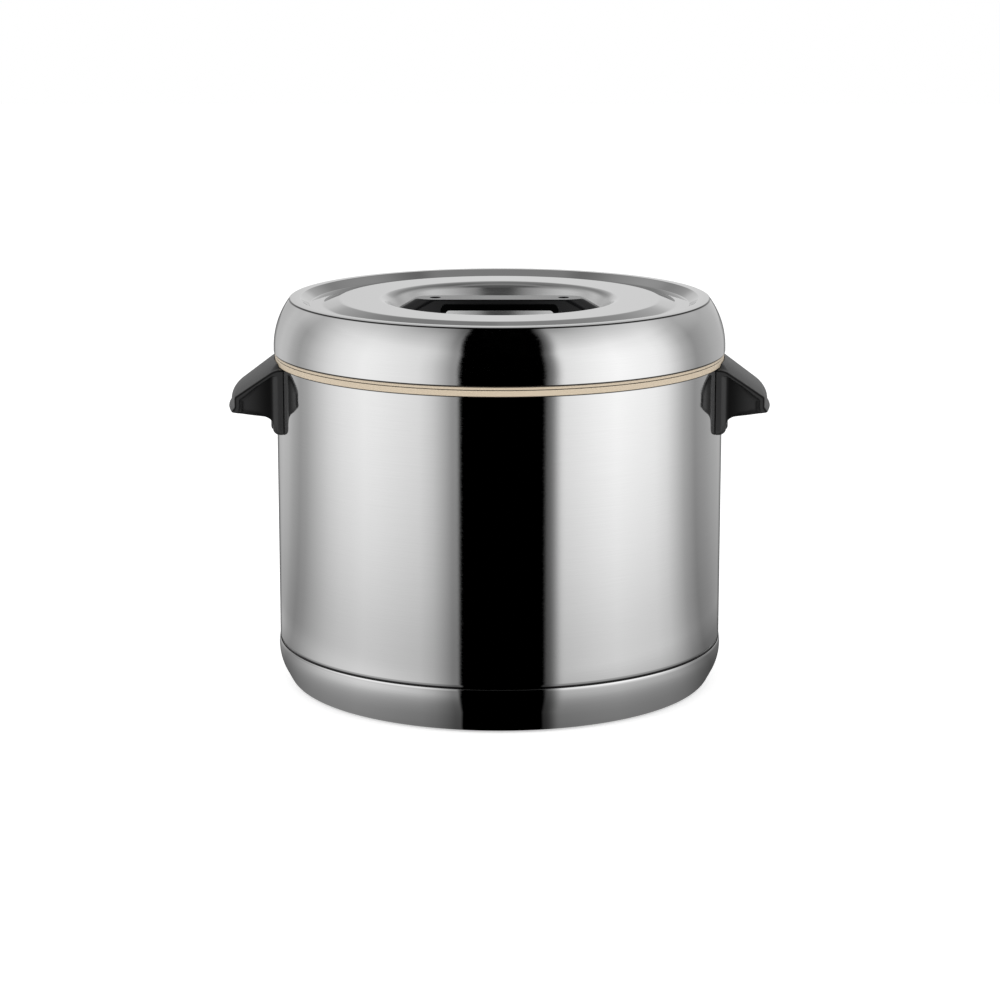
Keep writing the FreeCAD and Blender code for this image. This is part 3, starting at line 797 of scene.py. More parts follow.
# The corners of a closed outline, rounded.
def closedOutline(points):
    made = []
    for i, point in enumerate(points):
        before, after = points[i - 1][:2] + (0,), points[(i + 1) % len(points)][:2] + (0,)
        made += sampleOutline([before, point, after], 0.02, 9e9)[1:-1]
    return made


# Quads over the surface where a distance rule is zero, moved onto it and evened out.
def meshFromRule(name, rule, low, high, step):
    axes = [np.arange(a - 2 * step, b + 2.5 * step, step) for a, b in zip(low, high)]
    x, y, z = np.meshgrid(*axes, indexing="ij", sparse=True)
    values = np.broadcast_to(rule(x, y, z), [len(a) for a in axes])
    inside = values < 0
    corners = [(i, j, k) for i in (0, 1) for j in (0, 1) for k in (0, 1)]
    span = [len(a) - 1 for a in axes]
    full = sum(inside[i:i + span[0], j:j + span[1], k:k + span[2]].astype(int) for i, j, k in corners)
    cells = np.argwhere((full > 0) & (full < 8))
    ids = np.full(span, -1)
    ids[tuple(cells.T)] = np.arange(len(cells))
    total, hits = np.zeros((len(cells), 3)), np.zeros(len(cells))
    for axis in range(3):
        for start in corners:
            if start[axis]:
                continue
            end = tuple(1 if n == axis else start[n] for n in range(3))
            a = values[tuple((cells + start).T)]
            b = values[tuple((cells + end).T)]
            crossing = (a < 0) != (b < 0)
            share = np.where(crossing, a / np.where(crossing, a - b, 1), 0)
            place = cells + np.array(start) + share[:, None] * (np.array(end) - np.array(start))
            total += np.where(crossing[:, None], place, 0)
            hits += crossing
    points = total / hits[:, None] * step + np.array([a[0] for a in axes])
    quads = []
    for axis in range(3):
        following, last = (axis + 1) % 3, (axis + 2) % 3
        lower = inside.take(range(span[axis]), axis)
        upper = inside.take(range(1, span[axis] + 1), axis)
        edges = np.argwhere(lower != upper)
        edges = edges[(edges[:, following] > 0) & (edges[:, last] > 0)]
        edges = edges[(edges[:, following] < span[following]) & (edges[:, last] < span[last])]
        outward = lower[tuple(edges.T)]
        ring = []
        for u, v in ((1, 1), (0, 1), (0, 0), (1, 0)):
            cell = edges.copy()
            cell[:, following] -= u
            cell[:, last] -= v
            ring.append(ids[tuple(cell.T)])
        ring = np.stack(ring, 1)
        quads.append(np.where(outward[:, None], ring, ring[:, ::-1]))
    quads = np.concatenate(quads)

    def slopeAt(places, reach=0.04):
        found = []
        for axis in range(3):
            moved = np.zeros(3)
            moved[axis] = reach
            ahead, behind = (places + moved).T, (places - moved).T
            found.append((rule(*ahead) - rule(*behind)) / (2 * reach))
        return np.stack(found, 1)

    def settleOn(places, rounds):
        for _ in range(rounds):
            slope = slopeAt(places)
            size = np.maximum((slope ** 2).sum(1), 0.05)
            move = np.clip(rule(*places.T) / size, -step / 2, step / 2)
            places = places - 0.9 * move[:, None] * slope
        return places

    points = settleOn(points, 4)
    pairs = np.concatenate([quads[:, [i, (i + 1) % 4]] for i in range(4)])
    for _ in range(3):
        total, hits = np.zeros_like(points), np.zeros(len(points))
        for a, b in ((0, 1), (1, 0)):
            np.add.at(total, pairs[:, a], points[pairs[:, b]])
            np.add.at(hits, pairs[:, a], 1)
        points = settleOn(points * 0.5 + 0.5 * total / hits[:, None], 2)
    slope = slopeAt(points)
    normals = slope / np.linalg.norm(slope, axis=1)[:, None]
    mesh = bpy.data.meshes.new(name)
    mesh.from_pydata((points * mm).tolist(), [], quads.tolist())
    mesh.polygons.foreach_set("use_smooth", [True] * len(mesh.polygons))
    mesh.update()
    print("moulded", name, len(points), "points,", len(quads), "faces")
    return mesh, normals


# Stores how much painted shade each vertex gets, from a rule in millimetres.
def shadeMesh(mesh, rule):
    places = np.array([vertex.co for vertex in mesh.vertices]) / mm
    mesh.attributes.new("crease", "FLOAT", "POINT")
    mesh.attributes["crease"].data.foreach_set("value", rule(*places.T).astype(np.float32))


# Places a black plastic piece with the smooth normals of its rule.
def placeHandle(name, mesh, normals, material, body, node):
    mesh.name = name
    mesh.materials.clear()
    mesh.materials.append(material)
    mesh.normals_split_custom_set_from_vertices(normals.tolist())
    dressPiece(newObject(name, mesh), body, [node])


sideHandle = {
    "radius": 180.0, "seat": 264.7, "halfWidth": 56.6, "barrelReach": 171.1, "taper": 10.0,
    "reach": 36.4, "slope": 37.1, "rise": 4.1, "noseRadius": 13.0, "noseEndRadius": 2.5,
    "noseDrop": 31.6, "lipFlare": 2.1, "lipDrop": 3.0, "lipBend": 3.0, "wall": 2.8, "edge": 1.1,
    "fineEdge": 0.5, "recess": 2.4, "panel": 2.6, "panelInset": 0.6, "panelFillet": 1.6,
    "noseFillet": 5.0, "bead": 1.9, "endTop": -0.4, "endTopRadius": 14.0, "endLift": 6.0,
    "undersideDrop": 39.6, "undersideRise": 3.6, "undersideCorner": 9.0, "undersideEdge": 0.8,
    "legReach": 6.3, "legDrop": 52.3, "legCorner": 4.0, "legEdge": 3.5, "ribInner": 35.4,
    "ribEdge": 0.8, "columnWidth": 5.4, "columnRound": 2.6, "columnInset": 1.0,
    "columnFillet": 3.0, "backThickness": 4.0, "backTop": 0.3, "backMiddle": 10.0, "backEnd": 62.0,
    "archDrop": 35.9, "archCorner": 6.0, "screwHalf": 44.4, "screwDrop": 43.4, "screwSeat": 2.4,
    "screwRecess": 6.3, "recessEdge": 0.3, "collarReach": 1.3, "clear": 0.02, "step": 0.66,
    # where a blend starts and how far it runs, along the handle or out from the barrel
    "noseBlend": (24, 26), "endBlend": (36, 18), "beadBlend": (6, 16), "filletBlend": (188, 16),
    # the painted shade lines: half the width of a line, how deep the ridge's and the lower edge's lines
    # lie below the skin, how far in from the end, and how dark their painted shade is
    "lineWidth": 0.75, "ridgeLine": 0.9, "lowerLine": 0.3, "lineIn": 0.3, "lineDark": 1.6,
    # the panel's painted shade near the barrel and far out, and where it fades in from each side
    "panelShade": (0.85, 0.1), "panelBlend": (189, 20), "panelIn": (0.9, 1.2), "panelOut": 5.4,
    "panelTop": (2.4, 1.6), "panelColumn": (0, 2),
    "box": ((165, -58, 211), (220, 58, 269)),
}


# The plate that lies on the barrel between the two outer walls, seen from the side.
def backOutline():
    h = sideHandle
    bottom, arch, top = h["seat"] - h["legDrop"], h["seat"] - h["archDrop"], h["seat"] - h["backTop"]
    middle, inner, outer = -h["backMiddle"], h["ribInner"], h["backEnd"]
    return closedOutline([
        (middle, arch, 0), (inner, arch, h["archCorner"]), (inner, bottom, h["legEdge"]),
        (outer, bottom, 0), (outer, top, 0), (middle, top, 0),
    ])


backPoints = backOutline()


# The radius, and the distances to the handle's end plane and to its top and nose; y is positive.
def sideHandleSkin(x, y, z):
    h = sideHandle
    radius, seat = h["radius"], h["seat"]
    around = np.hypot(x, y)
    slope, taper = math.radians(h["slope"]), math.radians(h["taper"])
    nose = radius + h["reach"]
    end = (y - h["halfWidth"]) * math.cos(taper) + (x - h["barrelReach"]) * math.sin(taper)
    top = (around - radius) * math.sin(slope) + (z - seat - h["rise"]) * math.cos(slope)
    flare = math.atan2(h["lipFlare"], h["lipDrop"])
    lip = (around - nose) * math.cos(flare) + (z - seat + h["noseDrop"]) * math.sin(flare)
    lip = np.maximum(lip, around - nose - h["lipFlare"])
    front = -wedge(nose - around, -lip, flare, h["lipBend"])
    near = blend(y, h["noseBlend"])
    noseRadius = h["noseRadius"] + (h["noseEndRadius"] - h["noseRadius"]) * near
    outer = wedge(top, front, math.pi / 2 - slope, noseRadius)
    limit = seat + h["endTop"] + h["endLift"] * (1 - blend(y, h["endBlend"]))
    return around, end, wedge(outer, z - limit, slope, h["endTopRadius"])


# How far the handle's underside and leg lie from a place, seen from the side.
def sideHandleUnder(around, z):
    h = sideHandle
    edge = h["seat"] - h["undersideDrop"]
    rise = math.atan2(h["undersideRise"], h["reach"] - h["legReach"])
    leg, bottom = h["radius"] + h["legReach"], h["seat"] - h["legDrop"] - z
    below = (around - leg) * math.sin(rise) - (z - edge) * math.cos(rise)
    legEnd = wedge(around - leg, bottom, math.pi / 2, h["legCorner"])
    return below, -wedge(-below, -legEnd, math.pi / 2 - rise, h["undersideCorner"])


def sideHandleRule(x, y, z):
    h = sideHandle
    radius, seat, wall, fine = h["radius"], h["seat"], h["wall"], h["fineEdge"]
    y = np.abs(y)
    around, end, outer = sideHandleSkin(x, y, z)
    hull = roundCut(outer, end, h["edge"])
    skin = roundCut(hull, -(outer + wall), fine)

    # the recessed panel at the end, with a bead along its lower edge
    leg, bottom = radius + h["legReach"], seat - h["legDrop"] - z
    below, under = sideHandleUnder(around, z)
    bead = h["bead"] * np.exp(-((below / h["bead"]) ** 2)) * blend(around - leg, h["beadBlend"])
    panel = np.maximum(end + h["recess"] - bead, -(end + h["recess"] + h["panel"]))
    panel = np.maximum(panel, outer + h["panelInset"])
    fillet = h["panelFillet"] + (h["noseFillet"] - h["panelFillet"]) * blend(x, h["filletBlend"])
    body = roundCut(filletJoin(skin, panel, fillet), under, h["undersideEdge"])

    # the leg: a column at the end, a rib inside it and the plate on the barrel
    column = roundCut(around - leg, end, h["columnRound"])
    column = roundCut(column, -(end + h["columnWidth"]), h["panelInset"])
    column = roundCut(column, outer + h["columnInset"], h["columnInset"])
    column = roundCut(column, bottom, h["legEdge"])
    rib = roundCut(around - leg, np.abs(y - h["ribInner"] - wall / 2) - wall / 2, h["ribEdge"])
    rib = roundCut(np.maximum(rib, outer + h["ribEdge"]), bottom, h["legEdge"])
    back = roundCut(outlineDistance(backPoints, y, z), around - radius - h["backThickness"], fine)
    body = filletJoin(body, column, h["columnFillet"])
    body = filletJoin(body, rib, h["ribEdge"])
    body = filletJoin(body, np.maximum(back, end + h["panelInset"]), h["ribEdge"])

    # the recess for the screw, and room for the barrel and the cream rim
    angle = math.asin(h["screwHalf"] / radius)
    aside = x * math.sin(angle) - y * math.cos(angle)
    along = x * math.cos(angle) + y * math.sin(angle)
    well = np.hypot(aside, z - seat + h["screwDrop"]) - h["screwRecess"]
    well = np.maximum(well, radius + h["screwSeat"] - along)
    well = np.maximum(well, along - radius - h["backThickness"] - fine)
    body = np.maximum(roundCut(body, -well, h["recessEdge"]), hull)
    body = np.maximum(body, radius + h["clear"] - around)
    rim = np.maximum(around - radius - h["collarReach"], seat - h["backTop"] - z)
    return np.maximum(body, -rim)


# Painted shade: a dark line along the ridge and the lower edge, and darkening in the recessed panel.
def sideHandleShade(x, y, z):
    h = sideHandle
    y = np.abs(y)
    around, end, outer = sideHandleSkin(x, y, z)
    _, under = sideHandleUnder(around, z)
    ridge = 1 - np.hypot(outer + h["ridgeLine"], end + h["lineIn"]) / h["lineWidth"]
    lower = 0.8 - np.hypot(under + h["lowerLine"], end + h["lineIn"]) / h["lineWidth"]
    lines = h["lineDark"] * np.maximum(ridge, lower)
    inset = blend(-end, h["panelIn"]) * blend(-outer, h["panelTop"]) * (end > -h["panelOut"])
    close, far = h["panelShade"]
    depth = close + (far - close) * blend(around, h["panelBlend"])
    column = blend(around - h["radius"] - h["legReach"], h["panelColumn"])
    return np.clip(np.maximum(lines, inset * depth * column), 0.0, 1.0)


rightMesh, rightNormals = meshFromRule(
    "rightSideHandle", sideHandleRule, *sideHandle["box"], sideHandle["step"]
)
shadeMesh(rightMesh, sideHandleShade)
leftMesh, leftNormals = rightMesh.copy(), rightNormals * np.array([-1, 1, 1])
for vertex in leftMesh.vertices:
    vertex.co.x = -vertex.co.x
leftMesh.flip_normals()
sideBlack = finishes["black_plastic"]
placeHandle("rightSideHandle", rightMesh, rightNormals, sideBlack, "container", "right_handle")
placeHandle("leftSideHandle", leftMesh, leftNormals, sideBlack, "container", "left_handle")

lidHandle = {
    "top": 314.2, "floor": 283.5, "halfLength": 67.0, "halfWidth": 12.8, "endSlope": 31.0,
    "planCorner": 9.0, "edge": 0.9, "lip": 4.2, "gapHalf": 47.0, "gapCorner": 4.0,
    "coreHalf": 9.0, "coreDepth": 9.6, "coreGap": 43.5, "coreCorner": 3.5, "coreEdge": 1.2,
    "coreLap": 3.0, "coreTop": 1.0, "coreFillet": 0.6, "screwOffset": 51.7, "recess": 4.1,
    "recessDepth": 4.5, "recessEdge": 0.5, "wellFloorRadius": 68.5, "wellRadius": 92.0,
    "wellCorner": 12.0, "wellGap": 0.03, "wellEdge": 0.3, "step": 0.62,
    "box": ((-86, -13, 283), (86, 13, 315)),
    # where the frame's painted shade starts below the bridge's faces and how fast it grows
    "frameIn": (0.7, 1.4), "frameGap": (-0.9, 0.8),
}


# The bridge: sloping ends that stand in the well, a gap for the fingers and two screw recesses.
def lidHandleRule(x, y, z):
    h = lidHandle
    around, x, y = np.hypot(x, y), np.abs(x), np.abs(y)
    down = h["top"] - z
    slope = math.radians(h["endSlope"])
    end = (x - h["halfLength"] - down / math.tan(slope)) * math.sin(slope)
    plan = wedge(end, y - h["halfWidth"], math.pi / 2, h["planCorner"])
    gap = wedge(x - h["gapHalf"], h["lip"] - down, math.pi / 2, h["gapCorner"])
    body = roundCut(roundCut(plan, -down, h["edge"]), -gap, h["edge"])
    opening = wedge(x - h["coreGap"], h["coreDepth"] - down, math.pi / 2, h["coreCorner"])
    core = roundCut(y - h["coreHalf"], -opening, h["coreEdge"])
    core = np.maximum(np.maximum(core, x - h["gapHalf"] - h["coreLap"]), h["coreTop"] - down)
    body = filletJoin(body, core, h["coreFillet"])
    hole = np.maximum(np.hypot(x - h["screwOffset"], y) - h["recess"], down - h["recessDepth"])
    body = roundCut(body, -hole, h["recessEdge"])
    run = math.atan2(h["wellRadius"] - h["wellFloorRadius"], h["top"] - h["floor"])
    side = (around - h["wellFloorRadius"]) * math.cos(run) - (z - h["floor"]) * math.sin(run)
    well = wedge(h["floor"] - z, side, math.pi / 2 - run, h["wellCorner"])
    return roundCut(body, well + h["wellGap"], h["wellEdge"])


# Painted shade: the set-back frame of the opening is kept dark.
def lidHandleShade(x, y, z):
    h = lidHandle
    gap = wedge(np.abs(x) - h["gapHalf"], h["lip"] - h["top"] + z, math.pi / 2, h["gapCorner"])
    return blend(h["halfWidth"] - np.abs(y), h["frameIn"]) * blend(-gap, h["frameGap"])


gripMesh, gripNormals = meshFromRule(
    "lidHandle", lidHandleRule, *lidHandle["box"], lidHandle["step"]
)
shadeMesh(gripMesh, lidHandleShade)
placeHandle("lidHandle", gripMesh, gripNormals, gripBlack, "lid", "lid_handle")

screw = {
    "headHeight": 2.8, "slot": 1.0, "slotDepth": 1.1, "slotEdge": 0.15, "arm": 0.6,
    "headRound": 1.25, "sharp": 40, "step": 0.28,
}
sideScrew = {
    "head": 4.4, "shank": 2.5, "length": 11.26, "across": 44.4, "barrel": 180.0, "up": 221.3,
    "seat": 2.4, "turns": (12, 40, 71, 25),
}
lidScrew = {"head": 3.7, "shank": 2.0, "length": 35.5, "across": 51.7, "up": 309.7, "turns": (53, 13)}
washer = {"radius": 6.0, "hole": 2.75, "thickness": 1.0, "edge": 0.2, "topEdge": 0.35, "segments": 48}


# Puts one fastener on each seat, turned to the way that the seat faces.
def makeSeatTree():
    tree, given, out = makeGroup(
        "fastenersOnSeats", "GeometryNodeTree",
        [("Seats", "Geometry", None), ("Fastener", "Object", None), ("Finish", "Material", None)],
        [("Fitted", "Geometry")],
    )
    aimed = addNode(
        tree, "FunctionNodeAlignRotationToVector",
        {"Vector": namedAttribute(tree, "facing", "FLOAT_VECTOR")}, axis="Z",
    ).outputs[0]
    spun = addNode(
        tree, "FunctionNodeAxisAngleToRotation",
        {"Axis": (0, 0, 1), "Angle": namedAttribute(tree, "turn")},
    ).outputs[0]
    rotation = addNode(
        tree, "FunctionNodeRotateRotation", {"Rotation": aimed, "Rotate By": spun},
        rotation_space="LOCAL",
    ).outputs[0]
    part = addNode(
        tree, "GeometryNodeObjectInfo", {"Object": given.outputs["Fastener"]}
    ).outputs["Geometry"]
    placed = addNode(
        tree, "GeometryNodeInstanceOnPoints",
        {"Points": given.outputs["Seats"], "Instance": part, "Rotation": rotation},
    ).outputs[0]
    return finishTree(tree, given, out, placed)


seatTree = makeSeatTree()


# A seat is (place in millimetres, way it faces, turn in degrees).
def fitOnSeats(name, fastener, seats, body, node):
    mesh = bpy.data.meshes.new(name)
    mesh.from_pydata([Vector(place) * mm for place, _, _ in seats], [], [])
    mesh.attributes.new("facing", "FLOAT_VECTOR", "POINT")
    mesh.attributes.new("turn", "FLOAT", "POINT")
    for i, (_, way, angle) in enumerate(seats):
        mesh.attributes["facing"].data[i].vector = way
        mesh.attributes["turn"].data[i].value = math.radians(angle)
    piece = newObject(name, mesh)
    settle(piece, seatTree, Fastener=fastener, Finish=finishes["fastener_steel"])
    piece.data.name = name
    bpy.data.objects.remove(fastener)
    dressPiece(piece, body, [node])
    print("fitted", name, len(piece.data.polygons), "faces")


# A pan-head screw with a cross recess, its head's seat at the origin and its shank downwards.
def makeScrew(name, size):
    def rule(x, y, z):
        radius = np.hypot(x, y)
        head = roundCut(radius - size["head"], z - screw["headHeight"], screw["headRound"])
        head = np.maximum(head, -z)
        shank = np.maximum(np.maximum(radius - size["shank"], z - 1), -size["length"] - z)
        arm, half = size["head"] * screw["arm"], screw["slot"] / 2
        first = np.maximum(np.abs(x) - arm, np.abs(y) - half)
        second = np.maximum(np.abs(y) - arm, np.abs(x) - half)
        cross = np.maximum(np.minimum(first, second), screw["headHeight"] - screw["slotDepth"] - z)
        return roundCut(np.minimum(head, shank), -cross, screw["slotEdge"])

    low = (-size["head"], -size["head"], -size["length"])
    high = (size["head"], size["head"], screw["headHeight"])
    mesh, _ = meshFromRule(name, rule, low, high, screw["step"])
    mesh.set_sharp_from_angle(angle=math.radians(screw["sharp"]))
    return newObject(name, mesh)


def makeWasher():
    w = washer
    section = loop([
        (w["hole"] + 1, 0, 0), (w["radius"], 0, w["edge"]), (w["radius"], w["thickness"], w["topEdge"]),
        (w["hole"], w["thickness"], w["edge"]), (w["hole"], 0, w["edge"]),
    ])
    return turnedObject("sideWasher", section, "fastener_steel", w["segments"])


def sideSeats(lift, turns):
    s = sideScrew
    angle, reach, seats = math.asin(s["across"] / s["barrel"]), s["barrel"] + s["seat"] + lift, []
    for x in (1, -1):
        for y in (1, -1):
            way = (x * math.cos(angle), y * math.sin(angle), 0)
            seats.append(((way[0] * reach, way[1] * reach, s["up"]), way, turns[len(seats)]))
    return seats


fitOnSeats(
    "sideHandleScrews", makeScrew("sideScrew", sideScrew),
    sideSeats(washer["thickness"], sideScrew["turns"]), "container", "handle_screws",
)
fitOnSeats(
    "sideHandleWashers", makeWasher(), sideSeats(0.0, (0,) * 4), "container", "handle_washers"
)
fitOnSeats(
    "lidHandleScrews", makeScrew("lidScrew", lidScrew),
    [((x * lidScrew["across"], 0, lidScrew["up"]), (0, 0, 1), turn)
     for x, turn in zip((1, -1), lidScrew["turns"])],
    "lid", "lid_handle_screws",
)


studio = {
    # even light for rough surfaces at the horizon and overhead, and the height where it is whole
    "plain": (0.3, 0.9), "plainTop": 0.9,
    # name, place in metres, power in watts
    "lamps": [("leftSoftbox", (-1.5, -1.4, 1.9), 22.0), ("rightSoftbox", (1.6, -1.1, 1.7), 17.6)],
    "lampSize": 1.6, "lampTarget": (0, 0, 0.15),
    "floorLit": 0.78, "floorGlow": 0.5, "floorHalf": 6.0,
    # share of a turn from the back, through the left, front and right: light level
    "round": [(0.0, 0.72), (0.05, 0.5), (0.1, 0.58), (0.1273, 0.514), (0.1456, 0.423), (0.166, 0.352),
              (0.185, 0.417), (0.212, 0.596), (0.2366, 0.757), (0.26, 0.864), (0.3, 0.965),
              (0.3217, 0.945), (0.3866, 0.81), (0.4057, 0.67), (0.423, 0.458), (0.4345, 0.305),
              (0.442, 0.3), (0.4432, 0.0), (0.5628, 0.0), (0.564, 0.09), (0.5698, 0.132), (0.576, 0.25),
              (0.587, 0.774), (0.5914, 0.85), (0.6359, 0.994), (0.67, 1.08), (0.735, 0.975),
              (0.7575, 0.85), (0.7946, 0.461), (0.8225, 0.301), (0.8544, 0.365), (1.0, 0.72)],
    # height of the direction, from straight down to straight up: share of the even light there
    "even": [(0.0, 0.0), (0.62, 0.0), (0.72, 0.25), (0.885, 0.5), (1.0, 0.5)],
    # the even light's level, and how far to the sides it is whole
    "evenLevel": 0.8, "evenSide": 0.25,
    # high up the dark gap and its edges spread out: from and to this height, by this much
    "narrow": (0.45, 0.8, 0.86),
    # the same heights: light level in front and behind, and how far back the second one is whole
    "upward": [(0.0, 0.5), (0.3, 1.0), (0.4, 1.12), (0.68, 1.12), (0.75, 1.08), (0.808, 0.93),
               (0.86, 0.78), (0.883, 0.7), (0.905, 0.6), (0.924, 0.46), (0.94, 0.38), (1.0, 0.3)],
    "upwardBack": [(0.0, 0.5), (0.38, 1.0), (0.615, 1.0), (0.66, 0.72), (0.74, 0.52), (0.86, 0.42),
                   (0.93, 0.33), (1.0, 0.28)],
    "backWhole": 0.4,
    # the ceiling: the sine of the height where it starts and is whole, its level in front and
    # behind, and where it goes from one to the other
    "ceiling": (0.9, 0.93), "ceilingLevels": (0.1, 0.24), "ceilingSplit": (-0.04, 0.08),
    # distance from the middle in metres: how much of the studio the floor gives back there, less near the
    # object as a painted shadow
    "floorNear": [(0.0, 0.1), (0.17, 0.21), (0.2, 0.3), (0.25, 0.49), (0.31, 0.65), (0.36, 0.68),
                  (0.404, 0.68), (0.47, 0.7), (0.61, 0.77), (0.77, 0.835), (0.95, 0.885),
                  (1.15, 0.93), (1.38, 0.96), (1.64, 0.985), (2.0, 1.0)],
    # the floor gives back the studio as seen from a little further back: distances, shifts in metres
    "floorShift": (0.155, 0.19), "floorShifts": (0.083, 0.095), "floorDip": -0.2,
    # close to the object the floor's painted light is stronger on the left and its painted shade darker
    # on the right
    "floorSides": (1.25, 0.8), "floorAside": 0.2, "floorClose": (0.29, 0.36),
    # behind the object's two sides the floor is dark, a painted shadow, so that a thin dark line follows
    # its outline
    "floorGap": (0.2, 0.4), "gapLevel": 0.25, "gapSide": 0.18, "gapBack": (-0.01, 0.02),
}


# A ramp of grey levels, at most 32 of them.
def rampNode(tree, place, stops):
    node = addNode(tree, "ShaderNodeValToRGB", {0: place})
    elements = node.color_ramp.elements
    elements.remove(elements[-1])
    elements[0].position, elements[0].color = stops[0][0], grey(stops[0][1])
    for stop, level in stops[1:]:
        elements.new(stop).color = grey(level)
    return node.outputs[0]


# What polished steel sees: tall soft lights left and right, a dark gap behind the camera.
def makeStudioLevel():
    s = studio
    tree, given, out = makeGroup(
        "studioLevel", "ShaderNodeTree", [("Direction", "Vector", None)], [("Level", "Color")]
    )
    x, y, z = splitVector(tree, vectorMath(tree, "NORMALIZE", given.outputs["Direction"]))
    angle = mathNode(tree, "ARCTAN2", x, mathNode(tree, "MULTIPLY", y, -1.0))
    low, high, narrow = s["narrow"]
    scale = mapRange(tree, z, 0.5 / math.pi, 0.5 / math.pi * narrow, low, high)
    around = rampNode(tree, mathNode(tree, "MULTIPLY_ADD", angle, scale, 0.5), s["round"])
    height = mathNode(tree, "MULTIPLY_ADD", z, 0.5, 0.5)
    upward, behind = rampNode(tree, height, s["upward"]), rampNode(tree, height, s["upwardBack"])
    even = rampNode(tree, height, s["even"])
    aside = mathNode(tree, "ABSOLUTE", x)
    rear = mapRange(tree, mathNode(tree, "SUBTRACT", y, aside), 0.0, 1.0, 0.0, s["backWhole"])
    rise = mixColour(tree, rear, upward, behind)
    side = mathNode(tree, "MULTIPLY_ADD", mathNode(tree, "ABSOLUTE", y), -0.5, aside)
    share = mathNode(tree, "MULTIPLY", mapRange(tree, side, 0.0, 1.0, 0.0, s["evenSide"]), even)
    walls = mixColour(tree, share, around, grey(s["evenLevel"]))
    level = mixColour(tree, 1.0, walls, rise, "MULTIPLY")
    above = mapRange(tree, y, *s["ceilingLevels"], *s["ceilingSplit"])
    ceiling = mapRange(tree, z, 0.0, 1.0, *s["ceiling"])
    fillInputs(tree, out, Level=mixColour(tree, ceiling, level, above))
    return tree


studioLevel = makeStudioLevel()


def mixShader(tree, share, first, second):
    return addNode(tree, "ShaderNodeMixShader", {0: share, 1: first, 2: second}).outputs[0]


# The camera sees white, mirrors see the studio and rough surfaces get an even light.
def makeWorld():
    world = bpy.data.worlds.new("studioWorld")
    scene.world = world
    world.use_nodes = True
    tree = world.node_tree
    tree.nodes.clear()
    way = addNode(tree, "ShaderNodeTexCoord").outputs["Generated"]
    soft = mapRange(tree, splitVector(tree, way)[2], *studio["plain"], 0.0, studio["plainTop"])

    def background(colour):
        return addNode(tree, "ShaderNodeBackground", {"Color": colour}).outputs[0]

    mirrored = background(placeGroup(tree, studioLevel, Direction=way)[0])
    ray = addNode(tree, "ShaderNodeLightPath").outputs
    unseen = mixShader(tree, ray["Is Glossy Ray"], background(soft), mirrored)
    seen = mixShader(tree, ray["Is Camera Ray"], unseen, background(grey(1.0)))
    addNode(tree, "ShaderNodeOutputWorld", {"Surface": seen})


# How strongly the floor gives back the studio at each place, as seen in the steel; near and behind the
# object it is darkened as a painted shadow.
def floorStrength(tree, place, away):
    s = studio
    x, y, _ = splitVector(tree, place)
    near = rampNode(tree, mathNode(tree, "MULTIPLY", away, 0.5), [(d / 2, v) for d, v in s["floorNear"]])
    sides = mapRange(tree, x, *s["floorSides"], -s["floorAside"], s["floorAside"])
    close = mapRange(tree, away, 1.0, 0.0, *s["floorClose"])
    lean = mathNode(tree, "MULTIPLY_ADD", mathNode(tree, "SUBTRACT", sides, 1.0), close, 1.0)
    beyond = mathNode(tree, "SUBTRACT", mathNode(tree, "ABSOLUTE", x), s["gapSide"])
    spread = mathNode(tree, "DIVIDE", beyond, mathNode(tree, "MAXIMUM", y, 0.01))
    gap = mapRange(tree, spread, s["gapLevel"], 1.0, *s["floorGap"])
    rear = mapRange(tree, y, 0.0, 1.0, *s["gapBack"])
    shade = mathNode(tree, "MULTIPLY_ADD", mathNode(tree, "SUBTRACT", gap, 1.0), rear, 1.0)
    return mathNode(tree, "MULTIPLY", mathNode(tree, "MULTIPLY", near, lean), shade)


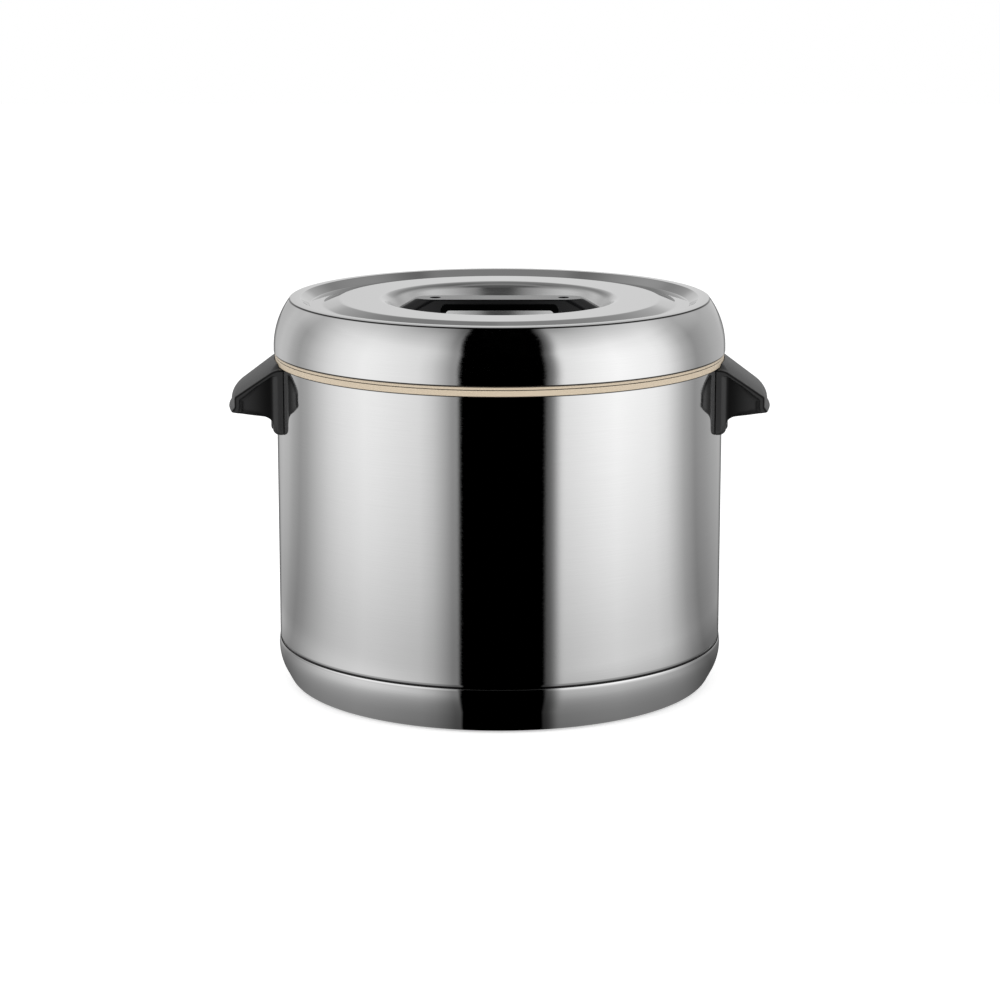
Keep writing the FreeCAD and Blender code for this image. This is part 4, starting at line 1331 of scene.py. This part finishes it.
def makeFloor():
    half = studio["floorHalf"]
    mesh = bpy.data.meshes.new("floor")
    corners = [(-half, -half, 0), (half, -half, 0), (half, half, 0), (-half, half, 0)]
    mesh.from_pydata(corners, [], [(0, 1, 2, 3)])
    newObject("floor", mesh)
    material = bpy.data.materials.new("paleFloor")
    material.use_nodes = True
    tree = material.node_tree
    tree.nodes.clear()
    place = objectPlace(tree)
    away = vectorMath(tree, "LENGTH", place, out="Value")
    shift = mapRange(tree, away, *studio["floorShifts"], *studio["floorShift"])
    ahead = vectorMath(tree, "ADD", place, joinVector(tree, y=shift))
    dip = joinVector(tree, z=mathNode(tree, "MULTIPLY", away, studio["floorDip"]))
    level = placeGroup(tree, studioLevel, Direction=vectorMath(tree, "ADD", ahead, dip))[0]
    ray = addNode(tree, "ShaderNodeLightPath").outputs
    cloth = addNode(tree, "ShaderNodeBsdfDiffuse", {"Color": grey(studio["floorLit"])}).outputs[0]
    glow = mathNode(tree, "MULTIPLY", ray["Is Camera Ray"], studio["floorGlow"])
    glow = addNode(tree, "ShaderNodeEmission", {"Strength": glow}).outputs[0]
    lit = addNode(tree, "ShaderNodeAddShader", {0: cloth, 1: glow}).outputs[0]
    inputs = {"Color": level, "Strength": floorStrength(tree, place, away)}
    mirrored = addNode(tree, "ShaderNodeEmission", inputs).outputs[0]
    final = mixShader(tree, ray["Is Glossy Ray"], lit, mirrored)
    addNode(tree, "ShaderNodeOutputMaterial", {"Surface": final})
    mesh.materials.append(material)


def aimFrom(name, data, place, target):
    holder = newObject(name, data)
    holder.location = place
    holder.rotation_euler = (Vector(target) - Vector(place)).to_track_quat("-Z", "Y").to_euler()
    return holder


def addLamp(name, place, power):
    lamp = bpy.data.lights.new(name, "AREA")
    lamp.energy, lamp.size = power, studio["lampSize"]
    aimFrom(name, lamp, place, studio["lampTarget"]).visible_glossy = False


def makeCamera():
    view = {"place": (0.0, -2.35, 0.652), "target": (0.0004, 0.0, 0.1473), "lens": 105.85, "sensor": 36.0}
    camera = bpy.data.cameras.new("photoCamera")
    camera.lens, camera.sensor_width = view["lens"], view["sensor"]
    scene.camera = aimFrom("photoCamera", camera, view["place"], view["target"])


makeWorld()
makeFloor()
for lamp in studio["lamps"]:
    addLamp(*lamp)
makeCamera()
scene.view_settings.view_transform = "Standard"
print("studio ready")
